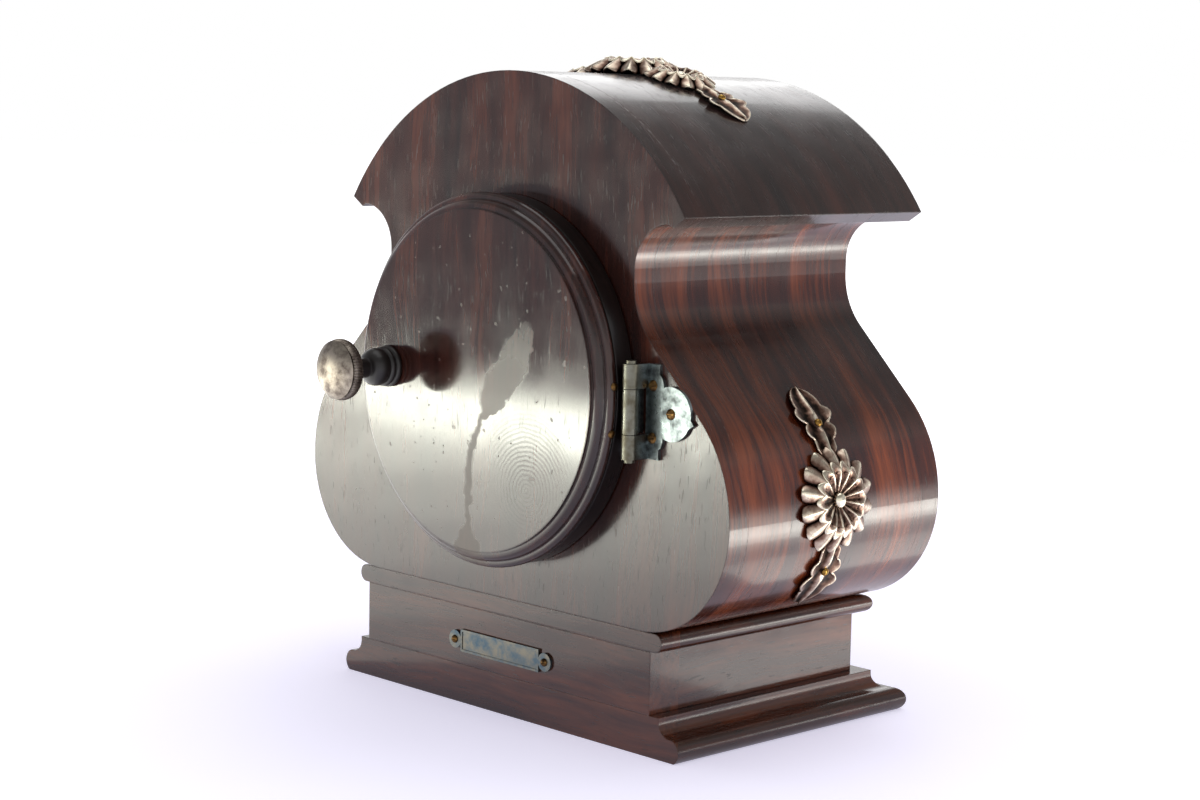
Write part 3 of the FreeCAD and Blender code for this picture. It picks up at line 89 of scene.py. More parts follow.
def rosewood_figure(tree, place, along, tones):
    """Rosewood along the grain: colour in soft patches and fine streaks, the streaks alone, and the pores."""
    # The grain wanders by some 3 mm over 70 mm of length
    bend = add(tree, "TexNoise", {"Vector": place, "Scale": 14.0, "Detail": 2.0})
    bend = add(tree, "VectorMath", {0: bend.outputs["Color"], 1: (0.5, 0.5, 0.5)}, operation="SUBTRACT")
    bent = add(tree, "VectorMath", {0: bend.outputs[0], 1: (0.014, 0.014, 0.014), 2: place},
               operation="MULTIPLY_ADD").outputs[0]
    wide = add(tree, "Mapping", {"Vector": bent, "Scale": along_grain(along, width=0.014, length=0.12)})
    patches = add(tree, "TexNoise", {"Vector": wide.outputs[0], "Scale": 1.0, "Detail": 4.0,
                                     "Roughness": 0.55})
    narrow = add(tree, "Mapping", {"Vector": bent, "Scale": along_grain(along, width=0.002, length=0.035)})
    streaks = add(tree, "TexNoise", {"Vector": narrow.outputs[0], "Scale": 1.0, "Detail": 4.0,
                                     "Roughness": 0.6})
    depth = add(tree, "Mix", {0: 0.36, 2: patches.outputs["Fac"], 3: streaks.outputs["Fac"]})
    dark, middle, light = [linear(tone) for tone in tones]
    figure = add(tree, "ValToRGB", {"Fac": depth.outputs[0]},
                 stops=[(0.35, dark), (0.5, middle), (0.65, light), (0.75, middle)])
    # Pores are 0.2 mm wide and 4 mm long; they are drawn wider and longer so that they show
    fine = add(tree, "Mapping", {"Vector": bent, "Scale": along_grain(along, width=0.0007, length=0.007)})
    pores = add(tree, "TexNoise", {"Vector": fine.outputs[0], "Scale": 1.0, "Detail": 1.0})
    pores = add(tree, "MapRange", {"Value": pores.outputs["Fac"], "From Min": 0.35, "From Max": 0.28,
                                   "To Max": 0.6})
    pore_colour = linear("#120807")
    colour = add(tree, "Mix", {0: pores.outputs[0], 6: figure.outputs[0], 7: pore_colour}, data_type="RGBA")
    return colour.outputs[2], streaks.outputs["Fac"], pores.outputs[0]


def shellac(tree, place, wood, roughness, edge=0.0007, dull=0.0):
    """Shellac over wood: a clear gloss, uneven along the grain, broken by pores, dull spots, worn edges."""
    colour, grain, pores = wood
    waves = add(tree, "TexNoise", {"Vector": place, "Scale": 90.0, "Detail": 2.0})
    waves = add(tree, "Math", {0: grain, 1: 0.3, 2: waves.outputs["Fac"]}, operation="MULTIPLY_ADD")
    gloss = add(tree, "MapRange", {"Value": waves.outputs[0], "From Min": 0.45, "From Max": 0.85,
                                   "To Min": roughness * 0.8, "To Max": roughness * 1.25})
    open_pores = add(tree, "Math", {0: pores, 1: 0.65}, operation="MULTIPLY")
    dull = add(tree, "Math", {0: dull, 1: open_pores.outputs[0]}, operation="MAXIMUM")
    bare_roughness = 0.55
    gloss = add(tree, "Mix", {0: dull.outputs[0], 2: gloss.outputs[0], 3: bare_roughness})
    coat = add(tree, "MapRange", {"Value": dull.outputs[0], "To Min": 0.22, "To Max": 0.0})
    worn_edge = add(tree, "Bevel", {"Radius": edge}, samples=4)
    # The grain telegraphs through old polish by some hundredths of a millimetre
    ripple = add(tree, "Bump", {"Height": grain, "Strength": 0.1, "Distance": 0.00012,
                                "Normal": worn_edge.outputs[0]})
    shellac_ior = 1.47
    surface = add(tree, "BsdfPrincipled", {"Base Color": colour, "Roughness": gloss.outputs[0],
                                           "Normal": ripple.outputs[0], "IOR": shellac_ior,
                                           "Coat Weight": coat.outputs[0], "Coat Roughness": 0.08})
    add(tree, "OutputMaterial", {"Surface": surface.outputs[0]})
    return surface


def dress(material, *nodes):
    """Gives CAD nodes a material."""
    for node in nodes:
        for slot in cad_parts[node].material_slots:
            slot.material = material


# French-polished rosewood shows brown-black streaks under a clear gloss that mirrors the table
dark_tones = ("#1b0c08", "#432012", "#6a361f")
plinth_high = Vector(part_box("base_moulding")[1])
mitred, tree, place = new_material("french_polished_rosewood_mitred")
axes = add(tree, "SeparateXYZ", {0: place})
reach_x = add(tree, "Math", {0: axes.outputs[0]}, operation="ABSOLUTE")
reach_y = add(tree, "Math", {0: axes.outputs[1]}, operation="ABSOLUTE")
diagonal = add(tree, "Math", {0: reach_x.outputs[0], 1: reach_y.outputs[0]}, operation="SUBTRACT")
mitre = plinth_high.x - plinth_high.y
on_side_run = add(tree, "Math", {0: diagonal.outputs[0], 1: mitre}, operation="GREATER_THAN")
turned_place = add(tree, "CombineXYZ", {0: axes.outputs[1], 1: axes.outputs[0], 2: axes.outputs[2]})
run_place = add(tree, "Mix", {0: on_side_run.outputs[0], 4: place, 5: turned_place.outputs[0]},
                data_type="VECTOR")
shellac(tree, place, rosewood_figure(tree, run_place.outputs[1], "x", dark_tones), roughness=0.17)
dress(mitred, "base_moulding", "plinth_block", "plinth_bead")

# Case floor and its screws
# A spruce board inside the case carries the movement and rings as its soundboard, so it is left bare.
# Four countersunk steel screws go up through the base, the block and the bead into it.

# Planed bare spruce is straw-coloured and matt, with year rings as fine darker lines
spruce, tree, place = new_material("bare_spruce")
rings = add(tree, "Mapping", {"Vector": place, "Scale": along_grain("x", width=0.0022, length=0.3)})
rings = add(tree, "TexNoise", {"Vector": rings.outputs[0], "Scale": 1.0, "Detail": 3.0})
straw = add(tree, "ValToRGB", {"Fac": rings.outputs["Fac"]},
            stops=[(0.35, linear("#8f6a3f")), (0.55, linear("#c39a63")), (0.7, linear("#d3ae78"))])
surface = add(tree, "BsdfPrincipled", {"Base Color": straw.outputs[0], "Roughness": 0.62})
add(tree, "OutputMaterial", {"Surface": surface.outputs[0]})
dress(spruce, "case_floor")


def metal(name, bright, dull, patch, roughness, bump):
    """Metal whose colour and gloss wander between clean and dull; patch is their size in metres."""
    material, tree, place = new_material(name)
    clouds = add(tree, "TexNoise", {"Vector": place, "Scale": 1 / patch, "Detail": 5.0, "Roughness": 0.65})
    tint = add(tree, "ValToRGB", {"Fac": clouds.outputs["Fac"]},
               stops=[(0.36, linear(dull)), (0.6, linear(bright))])
    gloss = add(tree, "MapRange", {"Value": clouds.outputs["Fac"], "From Min": 0.3, "From Max": 0.65,
                                   "To Min": roughness[1], "To Max": roughness[0]})
    # Tool marks and casting sand leave a grain of about half a millimetre
    grain = add(tree, "TexNoise", {"Vector": place, "Scale": 2200.0, "Detail": 2.0})
    dents = add(tree, "Bump", {"Height": grain.outputs["Fac"], "Strength": bump, "Distance": 0.0002})
    surface = add(tree, "BsdfPrincipled", {"Base Color": tint.outputs[0], "Metallic": 1.0,
                                           "Roughness": gloss.outputs[0], "Normal": dents.outputs[0]})
    add(tree, "OutputMaterial", {"Surface": surface.outputs[0]})
    return material


# Polished steel is a neutral grey with small soft clouds from handling
steel = metal("polished_steel", "#a9abae", "#7b7c7f",
              patch=0.006, roughness=(0.22, 0.36), bump=0.15)
dress(steel, "case_screws")

# Panel with the door opening, and the plain panel opposite
# Two flat boards sawn to the outline of the case, veneered with the grain upright.
# They are glued to the ends of the bent sides and of the roof, and the side veneer covers their edges.
side_tones = ("#1b0907", "#3e170d", "#7b3a1c")
roof_tones = ("#140a09", "#27130f", "#3b1c15")
eave_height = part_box("roof")[0][2]


def side_figure(tree, place):
    """Rosewood bent round the case: red sides, painted shade darkening the slope under the eave, and the dark
    roof above.
    """
    colour, grain, pores = rosewood_figure(tree, place, "xz", side_tones)
    height = add(tree, "SeparateXYZ", {0: place}).outputs[2]
    # Painted shade: the colour is darkened over the slope, where the eave shades it and shows dark in its
    # polish
    slope_low = 0.08
    slope_high = 0.15
    on_slope = add(tree, "MapRange", {"Value": height, "From Min": slope_low, "From Max": slope_high})
    painted_eave_shade = add(tree, "ValToRGB", {"Fac": on_slope.outputs[0]},
                    stops=[(0.1, 1.0), (0.4, 0.5), (0.62, 0.35), (0.85, 0.95)])
    colour = add(tree, "Mix", {0: 1.0, 6: colour, 7: painted_eave_shade.outputs[0]}, data_type="RGBA",
                 blend_type="MULTIPLY")
    over_eave = add(tree, "Math", {0: height, 1: eave_height}, operation="GREATER_THAN")
    roof_colour = rosewood_figure(tree, place, "xz", roof_tones)[0]
    colour = add(tree, "Mix", {0: over_eave.outputs[0], 6: colour.outputs[2], 7: roof_colour},
                 data_type="RGBA")
    return colour.outputs[2], grain, pores


# The flat faces show purple-brown streaks that run upright, and open pores that break the gloss
panel, tree, place = new_material("french_polished_rosewood_upright")
panel_tones = ("#1c0e0d", "#361a15", "#562a1d")
face = rosewood_figure(tree, place, "z", panel_tones)
edge = side_figure(tree, place)
facing = add(tree, "SeparateXYZ", {0: add(tree, "NewGeometry", {}).outputs["True Normal"]})
facing = add(tree, "Math", {0: facing.outputs[1]}, operation="ABSOLUTE")
on_face = add(tree, "Math", {0: facing.outputs[0], 1: 0.5}, operation="GREATER_THAN").outputs[0]
colour = add(tree, "Mix", {0: on_face, 6: edge[0], 7: face[0]}, data_type="RGBA")
grain = add(tree, "Mix", {0: on_face, 2: edge[1], 3: face[1]})
pores = add(tree, "Mix", {0: on_face, 2: edge[2], 3: face[2]})
shellac(tree, place, (colour.outputs[2], grain.outputs[0], pores.outputs[0]), roughness=0.22, edge=0.0004)
dress(panel, "back_panel", "front_panel")

# Bent sides and eave coves
# Thin boards bent to the swell, waist and neck of the case, with veneer that follows the curve.
# A separate hollow strip closes the corner under each eave.

# The red-brown veneer shows one long soft highlight along each curve of the polish
curved, tree, place = new_material("french_polished_rosewood_bent")
shellac(tree, place, side_figure(tree, place), roughness=0.22, edge=0.0)
dress(curved, "left_side", "right_side", "left_eave_cove", "right_eave_cove")

# Arched roof
# One board bent to the arch and glued down on both panels, with the darkest veneer of the case.
# It stands out over the sides and over the plain panel.

# Its nearly black polish has a faint grey bloom of age
roofing, tree, place = new_material("french_polished_rosewood_roof")
polish = shellac(tree, place, rosewood_figure(tree, place, "xz", roof_tones), roughness=0.22)
polish.inputs["Sheen Weight"].default_value = 0.1
polish.inputs["Sheen Roughness"].default_value = 0.35
polish.inputs["Sheen Tint"].default_value = linear("#d8d4d4")
dress(roofing, "roof")

# Movement
# A bronzed iron bedplate carries the pinned brass cylinder, the steel comb, the spring barrel and the
# governor with its endless screw and fan. Bridges, screws and arbors are turned or filed brass and steel.

# Bronzed cast iron is a dull brown gold with a fine sandy grain
bronzed = metal("bronzed_cast_iron", "#8a6c3c", "#5c4526",
                patch=0.009, roughness=(0.45, 0.62), bump=0.5)
# Lacquered brass is a warm yellow with a soft shine, darker where the lacquer has gone
brass = metal("lacquered_brass", "#c9a35a", "#a17f3f",
              patch=0.012, roughness=(0.24, 0.36), bump=0.12)
dress(bronzed, "bedplate")
dress(brass, "left_bridge", "right_bridge", "comb_base", "barrel_bridge_left", "barrel_bridge_right",
      "governor_bracket", "cylinder", "cylinder_wheel", "barrel", "barrel_cover", "great_wheel", "worm_wheel",
      "stop_slide")
dress(steel, "movement_screws", "comb", "comb_screws", "click_screw", "click_spring", "click",
      "stop_slide_screws", "cylinder_pins", "cylinder_arbor", "mainspring", "winding_arbor", "ratchet_wheel",
      "winding_key", "governor_arbor", "endless_screw", "fan")

# Door
# A round lid turned from one veneered board, with a bead and an ovolo round its edge, on a bent wooden band.
# The band is stained nearly black. Old polish on the lid is worn, with a dull run where something dripped.

# Black-stained wood hides its figure and keeps a soft shine
banded, tree, place = new_material("black_stained_rosewood")
shellac(tree, place, rosewood_figure(tree, place, "xz", ("#080404", "#110807", "#1f0f0c")), roughness=0.32)
dress(banded, "door_drum")
# Worn polish is a near mirror, broken by the dull run, by rubbing rings and by specks
lid, tree, place = new_material("worn_french_polished_rosewood")
figure, grain, pores = rosewood_figure(tree, place, "z", ("#1c0f0e", "#321a17", "#502c22"))
ragged = add(tree, "TexNoise", {"Vector": place, "Scale": 260.0, "Detail": 3.0})
ragged = add(tree, "VectorMath", {0: ragged.outputs["Color"], 1: (0.5, 0.5, 0.5)}, operation="SUBTRACT")
ragged = add(tree, "VectorMath", {0: ragged.outputs[0], 1: (0.005, 0.005, 0.005), 2: place},
             operation="MULTIPLY_ADD")
axes = add(tree, "SeparateXYZ", {0: ragged.outputs[0]})
# Outline of the run in millimetres: height, middle and half width. Two ramps over the height hold the middle
# and the half width as shares of their limits.
drip = ((54, -1.5, 6.8), (57, -0.5, 5.5), (62.5, -1.4, 1.5), (73.5, -1.0, 2.1), (85.5, 0.0, 1.6),
        (90, 2.2, 1.4), (95.5, 4.9, 1.0), (98, 8.2, 3.5), (101.5, 10.0, 6.0), (107, 13.0, 8.2),
        (114, 18.7, 7.6), (120, 21.3, 5.6), (124.5, 24.0, 3.7), (127.5, 25.0, 0.2))
low, high = drip[0][0], drip[-1][0]
middle_limit = 30
half_limit = 10
share = add(tree, "MapRange", {"Value": axes.outputs[2], "From Min": low / 1000, "From Max": high / 1000})
middle = add(tree, "ValToRGB", {"Fac": share.outputs[0]},
             stops=[((z - low) / (high - low), 0.5 + x / (2 * middle_limit)) for z, x, half in drip])
reach = add(tree, "ValToRGB", {"Fac": share.outputs[0]},
            stops=[((z - low) / (high - low), half / half_limit) for z, x, half in drip])
middle = add(tree, "MapRange", {"Value": middle.outputs[0], "To Min": -middle_limit / 1000,
                                "To Max": middle_limit / 1000})
reach = add(tree, "MapRange", {"Value": reach.outputs[0], "To Max": half_limit / 1000})
aside = add(tree, "Math", {0: axes.outputs[0], 1: middle.outputs[0]}, operation="SUBTRACT")
aside = add(tree, "Math", {0: aside.outputs[0]}, operation="ABSOLUTE")
inside = add(tree, "Math", {0: reach.outputs[0], 1: aside.outputs[0]}, operation="SUBTRACT")
run = add(tree, "MapRange", {"Value": inside.outputs[0], "From Min": -0.0007, "From Max": 0.0006})
fade = add(tree, "MapRange", {"Value": axes.outputs[2], "From Min": 0.098, "From Max": 0.126, "To Min": 1.0,
                              "To Max": 0.3})
run = add(tree, "Math", {0: run.outputs[0], 1: fade.outputs[0]}, operation="MULTIPLY")
below = add(tree, "Math", {0: axes.outputs[2], 1: high / 1000}, operation="LESS_THAN")
rim_depth = 0.006
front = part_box("door_face")[0][1] + rim_depth
outside = add(tree, "MapRange", {"Value": axes.outputs[1], "From Min": front + 0.001, "From Max": front,
                                 "To Max": 0.62})
run = add(tree, "Math", {0: run.outputs[0], 1: below.outputs[0]}, operation="MULTIPLY")
run = add(tree, "Math", {0: run.outputs[0], 1: outside.outputs[0]}, operation="MULTIPLY")
stained = add(tree, "Mix", {0: run.outputs[0], 6: figure, 7: linear("#4e4037")}, data_type="RGBA")
# Round rubbing marks 1.4 mm apart, low on the right, and dull specks about 1 mm across
rings_x = 0.026
rings_z = 0.076
rubbed = add(tree, "Mapping", {"Vector": place, "Location": (-rings_x, 0.0, -rings_z)})
rings = add(tree, "TexWave", {"Vector": rubbed.outputs[0], "Scale": 224.0, "Distortion": 3.0, "Detail": 2.0},
            wave_type="RINGS", rings_direction="Y")
flat_place = add(tree, "VectorMath", {0: rubbed.outputs[0], 1: (1.0, 0.0, 1.0)}, operation="MULTIPLY")
from_middle = add(tree, "VectorMath", {0: flat_place.outputs[0]}, operation="LENGTH")
rubbing = add(tree, "MapRange", {"Value": from_middle.outputs["Value"], "From Min": 0.026, "From Max": 0.008,
                                 "To Max": 0.36})
marks = add(tree, "Math", {0: rings.outputs["Fac"], 1: rubbing.outputs[0]}, operation="MULTIPLY")
specks = add(tree, "TexNoise", {"Vector": place, "Scale": 420.0, "Detail": 1.0})
specks = add(tree, "MapRange", {"Value": specks.outputs["Fac"], "From Min": 0.69, "From Max": 0.75,
                                "To Max": 0.4})
dull = add(tree, "Math", {0: run.outputs[0], 1: marks.outputs[0]}, operation="MAXIMUM")
dull = add(tree, "Math", {0: dull.outputs[0], 1: specks.outputs[0]}, operation="MAXIMUM")
# The lid was polished more often than the case, so its pores are better filled
filled_pores = add(tree, "Math", {0: pores, 1: 0.55}, operation="MULTIPLY")
shellac(tree, place, (stained.outputs[2], grain, filled_pores.outputs[0]), roughness=0.12,
        dull=dull.outputs[0])
dress(lid, "door_face")
# Aged brass is dark yellow-brown with little shine
aged_brass = metal("aged_brass", "#7a5c34", "#35261a",
                   patch=0.002, roughness=(0.32, 0.5), bump=0.1)
dress(aged_brass, "door_band_nails")

# Knob
# A turned stem, stained black, holds a stamped and silvered button head with a milled rim behind its dome.
# One long screw through the lid holds both.

# Ebonised wood is nearly black, with a soft satin shine on each turned ring
ebonised, tree, place = new_material("ebonised_wood")
shellac(tree, place, rosewood_figure(tree, place, "y", ("#070404", "#120a08", "#1e1310")), roughness=0.42)
dress(ebonised, "knob_stem")
dress(steel, "knob_screw")


def silvered_piece(name, bm, material, body, node):
    """Turns a bmesh into a smooth piece of silvered metal that stands for its CAD node."""
    bmesh.ops.recalc_face_normals(bm, faces=bm.faces)
    for face in bm.faces:
        face.smooth = True
    mesh = bpy.data.meshes.new(name)
    bm.to_mesh(mesh)
    bm.free()
    mesh.materials.append(material)
    piece = bpy.data.objects.new(name, mesh)
    bpy.context.scene.collection.objects.link(piece)
    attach(piece, body)
    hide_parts(node)
    return piece


# Tarnished silver plate is warm grey and satin, with brown clouds where fingers reach less
tarnished = metal("tarnished_silver_plate", "#978e83", "#5a504a",
                  patch=0.004, roughness=(0.38, 0.52), bump=0.1)
head_low, head_high = [Vector(corner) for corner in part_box("knob_head")]
head_middle = (head_low + head_high) / 2
head_radius = (head_high.x - head_low.x) / 2
groove = 0.0005
rim_height = 0.0035
dome_radius = head_radius - groove
dome_start = rim_height + groove
dome_height = head_high.y - head_low.y - dome_start
dome_fullness = 3.4
rim_steps = 8
dome_steps = 16
profile = [(0.0, 0.0)]
for step in range(rim_steps + 1):
    share = step / rim_steps
    profile.append((dome_radius + groove * (1 - (2 * share - 1) ** 2), rim_height * share))
profile += [(dome_radius - groove, rim_height), (dome_radius - groove, dome_start)]
for step in range(dome_steps + 1):
    out = 1 - step / dome_steps
    profile.append((dome_radius * out, dome_start + dome_height * (1 - out ** dome_fullness)))
bm = bmesh.new()
points = [bm.verts.new((head_middle.x + radius, head_high.y - rise, head_middle.z))
          for radius, rise in profile]
edges = [bm.edges.new(pair) for pair in zip(points, points[1:])]
ribs = 64
steps_per_rib = 6
rib_depth = 0.0003
bmesh.ops.spin(bm, geom=points + edges, cent=head_middle, axis=(0, 1, 0), angle=2 * math.pi,
               steps=ribs * steps_per_rib)
bmesh.ops.remove_doubles(bm, verts=bm.verts, dist=1e-6)
for vert in bm.verts:
    aside = vert.co - head_middle
    radius = math.hypot(aside.x, aside.z)
    rise = head_high.y - vert.co.y
    if radius > dome_radius and rise < rim_height:
        valley = 0.5 - 0.5 * math.cos(ribs * math.atan2(aside.x, aside.z))
        shrink = 1 - rib_depth * valley / radius
        vert.co.x = head_middle.x + aside.x * shrink
        vert.co.z = head_middle.z + aside.z * shrink
head = silvered_piece("knob_head_milled", bm, tarnished, "door", "knob_head")
head.data.set_sharp_from_angle(angle=math.radians(50))

# Hinge
# A nickel-plated butt hinge; its case leaf is cut to a shield and held by three round-headed brass screws.
# The door leaf is let in behind the band and held by two countersunk screws.

# Worn nickel plate is a cool blue grey, satin, and darker where the plate is thin
nickel = metal("worn_nickel_plate", "#8d9696", "#4b4f4f",
               patch=0.004, roughness=(0.26, 0.42), bump=0.05)
# The front of the knuckles, 3 to 6 mm off the panel, is rubbed through to yellow brass
tree = nickel.node_tree
surface = tree.nodes["Principled BSDF"]
depth = add(tree, "SeparateXYZ", {0: add(tree, "TexCoord", {}).outputs["Object"]}).outputs[1]
panel_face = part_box("back_panel")[0][1]
knuckle = add(tree, "MapRange", {"Value": depth, "From Min": panel_face - 0.003,
                                 "From Max": panel_face - 0.006, "To Max": 0.7})
rubbed = add(tree, "Mix", {0: knuckle.outputs[0], 6: surface.inputs["Base Color"].links[0].from_socket,
                           7: linear("#5c5440")}, data_type="RGBA")
tree.links.new(rubbed.outputs[2], surface.inputs["Base Color"])
dress(nickel, "hinge_case_leaf", "hinge_door_leaf", "hinge_pin")
dress(aged_brass, "hinge_screws", "hinge_leaf_screws")

# Mounts
# Daisies and lobed leaves, cast in one piece from thin silvered brass, lie on both sides and on the roof.
# Brass pins through the leaves hold them. The plating is worn bright on top and brown in the hollows.

# The sides bend to these two radii below and above the bulge, and run on straight at the slope
low_radius = 0.035
up_radius = 0.0422
slope = math.radians(45)
side_low, side_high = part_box("right_side")
bulge_x = side_high[0]
bulge_z = side_low[2] + low_radius
mount_low, mount_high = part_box("right_mount")
mount_y = (mount_low[1] + mount_high[1]) / 2
mount_arc = up_radius * math.asin(((mount_low[2] + mount_high[2]) / 2 - bulge_z) / up_radius)
roof_radius = 0.0911
roof_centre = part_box("roof")[1][2] - roof_radius
top_low, top_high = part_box("top_mount")
top_y = (top_low[1] + top_high[1]) / 2
flower_radius = 0.0162


def lay_on_side(across, along, height):
    """Point over the right side: across towards the plain panel, along up the curve, height off the wood."""
    arc = mount_arc + along
    radius = low_radius if arc < 0 else up_radius
    angle = min(arc / radius, slope)
    beyond = max(0.0, arc - up_radius * slope)
    reach = radius + height
    x = bulge_x - radius + reach * math.cos(angle) - beyond * math.sin(slope)
    z = bulge_z + reach * math.sin(angle) + beyond * math.cos(slope)
    return Vector((x, mount_y + across, z))


def lay_on_roof(across, along, height):
    """Point over the roof: along the arch from its crown towards the right."""
    reach = roof_radius + height
    angle = along / roof_radius
    return Vector((reach * math.sin(angle), top_y + across, roof_centre + reach * math.cos(angle)))


def petal_ring(bm, lay, middle, count, first, near, far, height, worn, wear):
    """Ring of petals that touch: height and worn give lift and rubbing at a sideward and an outward share."""
    for index in range(count):
        turn = first + 2 * math.pi * index / count
        for vert in bmesh.ops.create_grid(bm, x_segments=8, y_segments=10, size=1.0)["verts"]:
            side, out = vert.co.x, (vert.co.y + 1) / 2
            reach = near + (far - near) * out * (1 - 0.2 * side * side * out ** 3)
            angle = turn + side * (1 - 0.2 * out ** 9) * math.pi / count
            across = middle[0] + reach * math.sin(angle)
            along = middle[1] + reach * math.cos(angle)
            vert.co = lay(across, along, height(abs(side), out))
            vert[wear] = worn(abs(side), out)


def daisy(bm, lay, middle, radius, count, wear, lift=1.0):
    """Daisy head: ridged petals that fall to the case, a ring of dished petals over them and a round boss."""
    size = lift * radius / flower_radius
    root_height = 0.0034
    tip_fall = 0.0027
    ridge_height = 0.0009
    edge_curl = 0.0006
    bowl_root = 0.0016
    bowl_rise = 0.0029
    lip_fall = 0.0012
    lip_share = 0.2
    hollow_depth = 0.0011

    def ridged(side, out):
        ridge = ridge_height * (1 - side) - edge_curl * side * side * out
        return size * (root_height - tip_fall * out ** 1.3 + ridge)

    def dished(side, out):
        lip = lip_fall * max(0.0, out - 1 + lip_share) / lip_share
        bowl = bowl_root + bowl_rise * math.sin(math.pi * 0.6 * out) - lip
        return size * (bowl - hollow_depth * (1 - side * side) * math.sin(math.pi * out))

    petal_ring(bm, lay, middle, count, 0.0, radius * 0.45, radius, ridged,
               lambda side, out: 0.68 * (1 - side) ** 0.6 + 0.25 * out * out, wear)
    petal_ring(bm, lay, middle, count, math.pi / count, radius * 0.12, radius * 0.7, dished,
               lambda side, out: min(1.0, 0.12 + 0.55 * side ** 3 + 0.9 * out ** 3), wear)
    boss_height = 0.0022
    boss = bmesh.ops.create_uvsphere(bm, u_segments=14, v_segments=8, radius=radius * 0.15)["verts"]
    for vert in boss:
        vert[wear] = 1.0
        vert.co = lay(middle[0] + vert.co.x, middle[1] + vert.co.y, size * boss_height + vert.co.z * 0.7)
    bed_depth = 0.0022
    bed_height = 0.0012
    bed = bmesh.ops.create_cone(bm, cap_ends=True, segments=28, radius1=radius * 0.84, radius2=radius * 0.5,
                                depth=size * bed_depth)["verts"]
    for vert in bed:
        vert[wear] = 0.0
        vert.co = lay(middle[0] + vert.co.x, middle[1] + vert.co.y, size * bed_height + vert.co.z)


def acanthus(bm, lay, start, length, half, pin, wear):
    """Leaf with a narrow neck, two pairs of side lobes and a pointed end, a raised rib and hollow lobes."""
    leaf_height = 0.0008
    rib_height = 0.0019
    edge_height = 0.0013
    # The casting is pressed down to a small seat under each pin's head
    seat_height = 0.0015
    seat_radius = 0.0018
    seat_slope = 0.8
    for vert in bmesh.ops.create_grid(bm, x_segments=14, y_segments=48, size=1.0)["verts"]:
        side, out = vert.co.x, (vert.co.y + 1) / 2
        lobes = [0.55 * (1 - out ** 6)]
        for place, spread, reach in ((0.28, 0.16, 0.86), (0.53, 0.17, 1.05), (0.68, 0.32, 0.76)):
            lobes.append(reach * max(0.0, 1 - ((out - place) / spread) ** 2) ** 0.7)
        full = max(lobes)
        across = side * half * full
        along = start + math.copysign(length * (out + 0.13 * side * side * (1 - out)), start)
        rib = math.exp(-(side / 0.2) ** 2)
        lift = leaf_height + rib_height * rib * (1 - 0.5 * out) + edge_height * side ** 4 * full
        from_pin = math.hypot(across, along - pin)
        lift = min(lift, seat_height + max(0.0, from_pin - seat_radius) * seat_slope)
        vert.co = lay(across, along, lift)
        vert[wear] = min(1.0, 0.08 + 0.8 * rib + 0.7 * side ** 4)


def casting(bm, node):
    """Makes a bmesh into a thin cast mount with a softened surface."""
    piece = silvered_piece(node + "_casting", bm, cast_silver, "case", node)
    wall = piece.modifiers.new("wall", "SOLIDIFY")
    wall.thickness = 0.0007
    wall.offset = -1.0
    soft = piece.modifiers.new("soft", "SUBSURF")
    soft.levels = 1
    soft.render_levels = 1


# Worn silver-plated casting is bright cream on the ridges and brown-black in the hollows
cast_silver, tree, place = new_material("worn_silver_plated_casting")
rubbed = add(tree, "Attribute", {}, attribute_name="wear")
clouds = add(tree, "TexNoise", {"Vector": place, "Scale": 420.0, "Detail": 4.0, "Roughness": 0.6})
wander = add(tree, "Math", {0: clouds.outputs["Fac"], 1: 0.9, 2: -0.45}, operation="MULTIPLY_ADD")
rubbed = add(tree, "Math", {0: rubbed.outputs["Fac"], 1: wander.outputs[0]}, operation="ADD")
tint = add(tree, "ValToRGB", {"Fac": rubbed.outputs[0]},
           stops=[(0.12, linear("#1b1410")), (0.4, linear("#654c41")), (0.64, linear("#ad9888")),
                  (0.92, linear("#e6dec8"))])
gloss = add(tree, "MapRange", {"Value": rubbed.outputs[0], "To Min": 0.5, "To Max": 0.2})
surface = add(tree, "BsdfPrincipled", {"Base Color": tint.outputs[0], "Metallic": 1.0,
                                       "Roughness": gloss.outputs[0]})
add(tree, "OutputMaterial", {"Surface": surface.outputs[0]})

petals = 14
leaf_half = 0.0074
leaf_start = 0.0118
leaf_length = 0.0252
side_pins = (0.0232, -0.0221)
for side, node in ((1, "right_mount"), (-1, "left_mount")):
    bm = bmesh.new()
    wear = bm.verts.layers.float.new("wear")
    daisy(bm, lay_on_side, (0.0, 0.0), flower_radius, petals, wear)
    for way, pin in zip((1, -1), side_pins):
        acanthus(bm, lay_on_side, way * leaf_start, leaf_length, leaf_half, pin, wear)
    if side < 0:
        bmesh.ops.scale(bm, vec=(-1, 1, 1), verts=bm.verts)
    casting(bm, node)
small_radius = 0.012
small_reach = 0.0207
small_petals = 12
roof_lift = 1.3
roof_leaf_start = 0.0296
roof_leaf_length = 0.0222
roof_pin = 0.0397
bm = bmesh.new()
wear = bm.verts.layers.float.new("wear")
daisy(bm, lay_on_roof, (0.0, 0.0), flower_radius, petals, wear, roof_lift)
for way in (1, -1):
    daisy(bm, lay_on_roof, (0.0, way * small_reach), small_radius, small_petals, wear, roof_lift)
    acanthus(bm, lay_on_roof, way * roof_leaf_start, roof_leaf_length, leaf_half, way * roof_pin, wear)
casting(bm, "top_mount")
# Rubbed brass is yellow, with brighter heads where cloths pass over it
gilt = metal("rubbed_brass", "#b8924a", "#6b4c25",
             patch=0.002, roughness=(0.25, 0.42), bump=0.1)
dress(gilt, "mount_pins")

# Bare plate
# A small silvered plate with a raised edge is pinned through two ring-shaped ears to the block.
# It is blank; a grey-blue film is left of its old lacquer.

# Silver plate under a lacquer film is grey with dull blue patches
plated = metal("filmed_silver_plate", "#6f6b61", "#4d5e69",
               patch=0.004, roughness=(0.36, 0.54), bump=0.1)
dress(plated, "nameplate")
dress(aged_brass, "nameplate_pins")

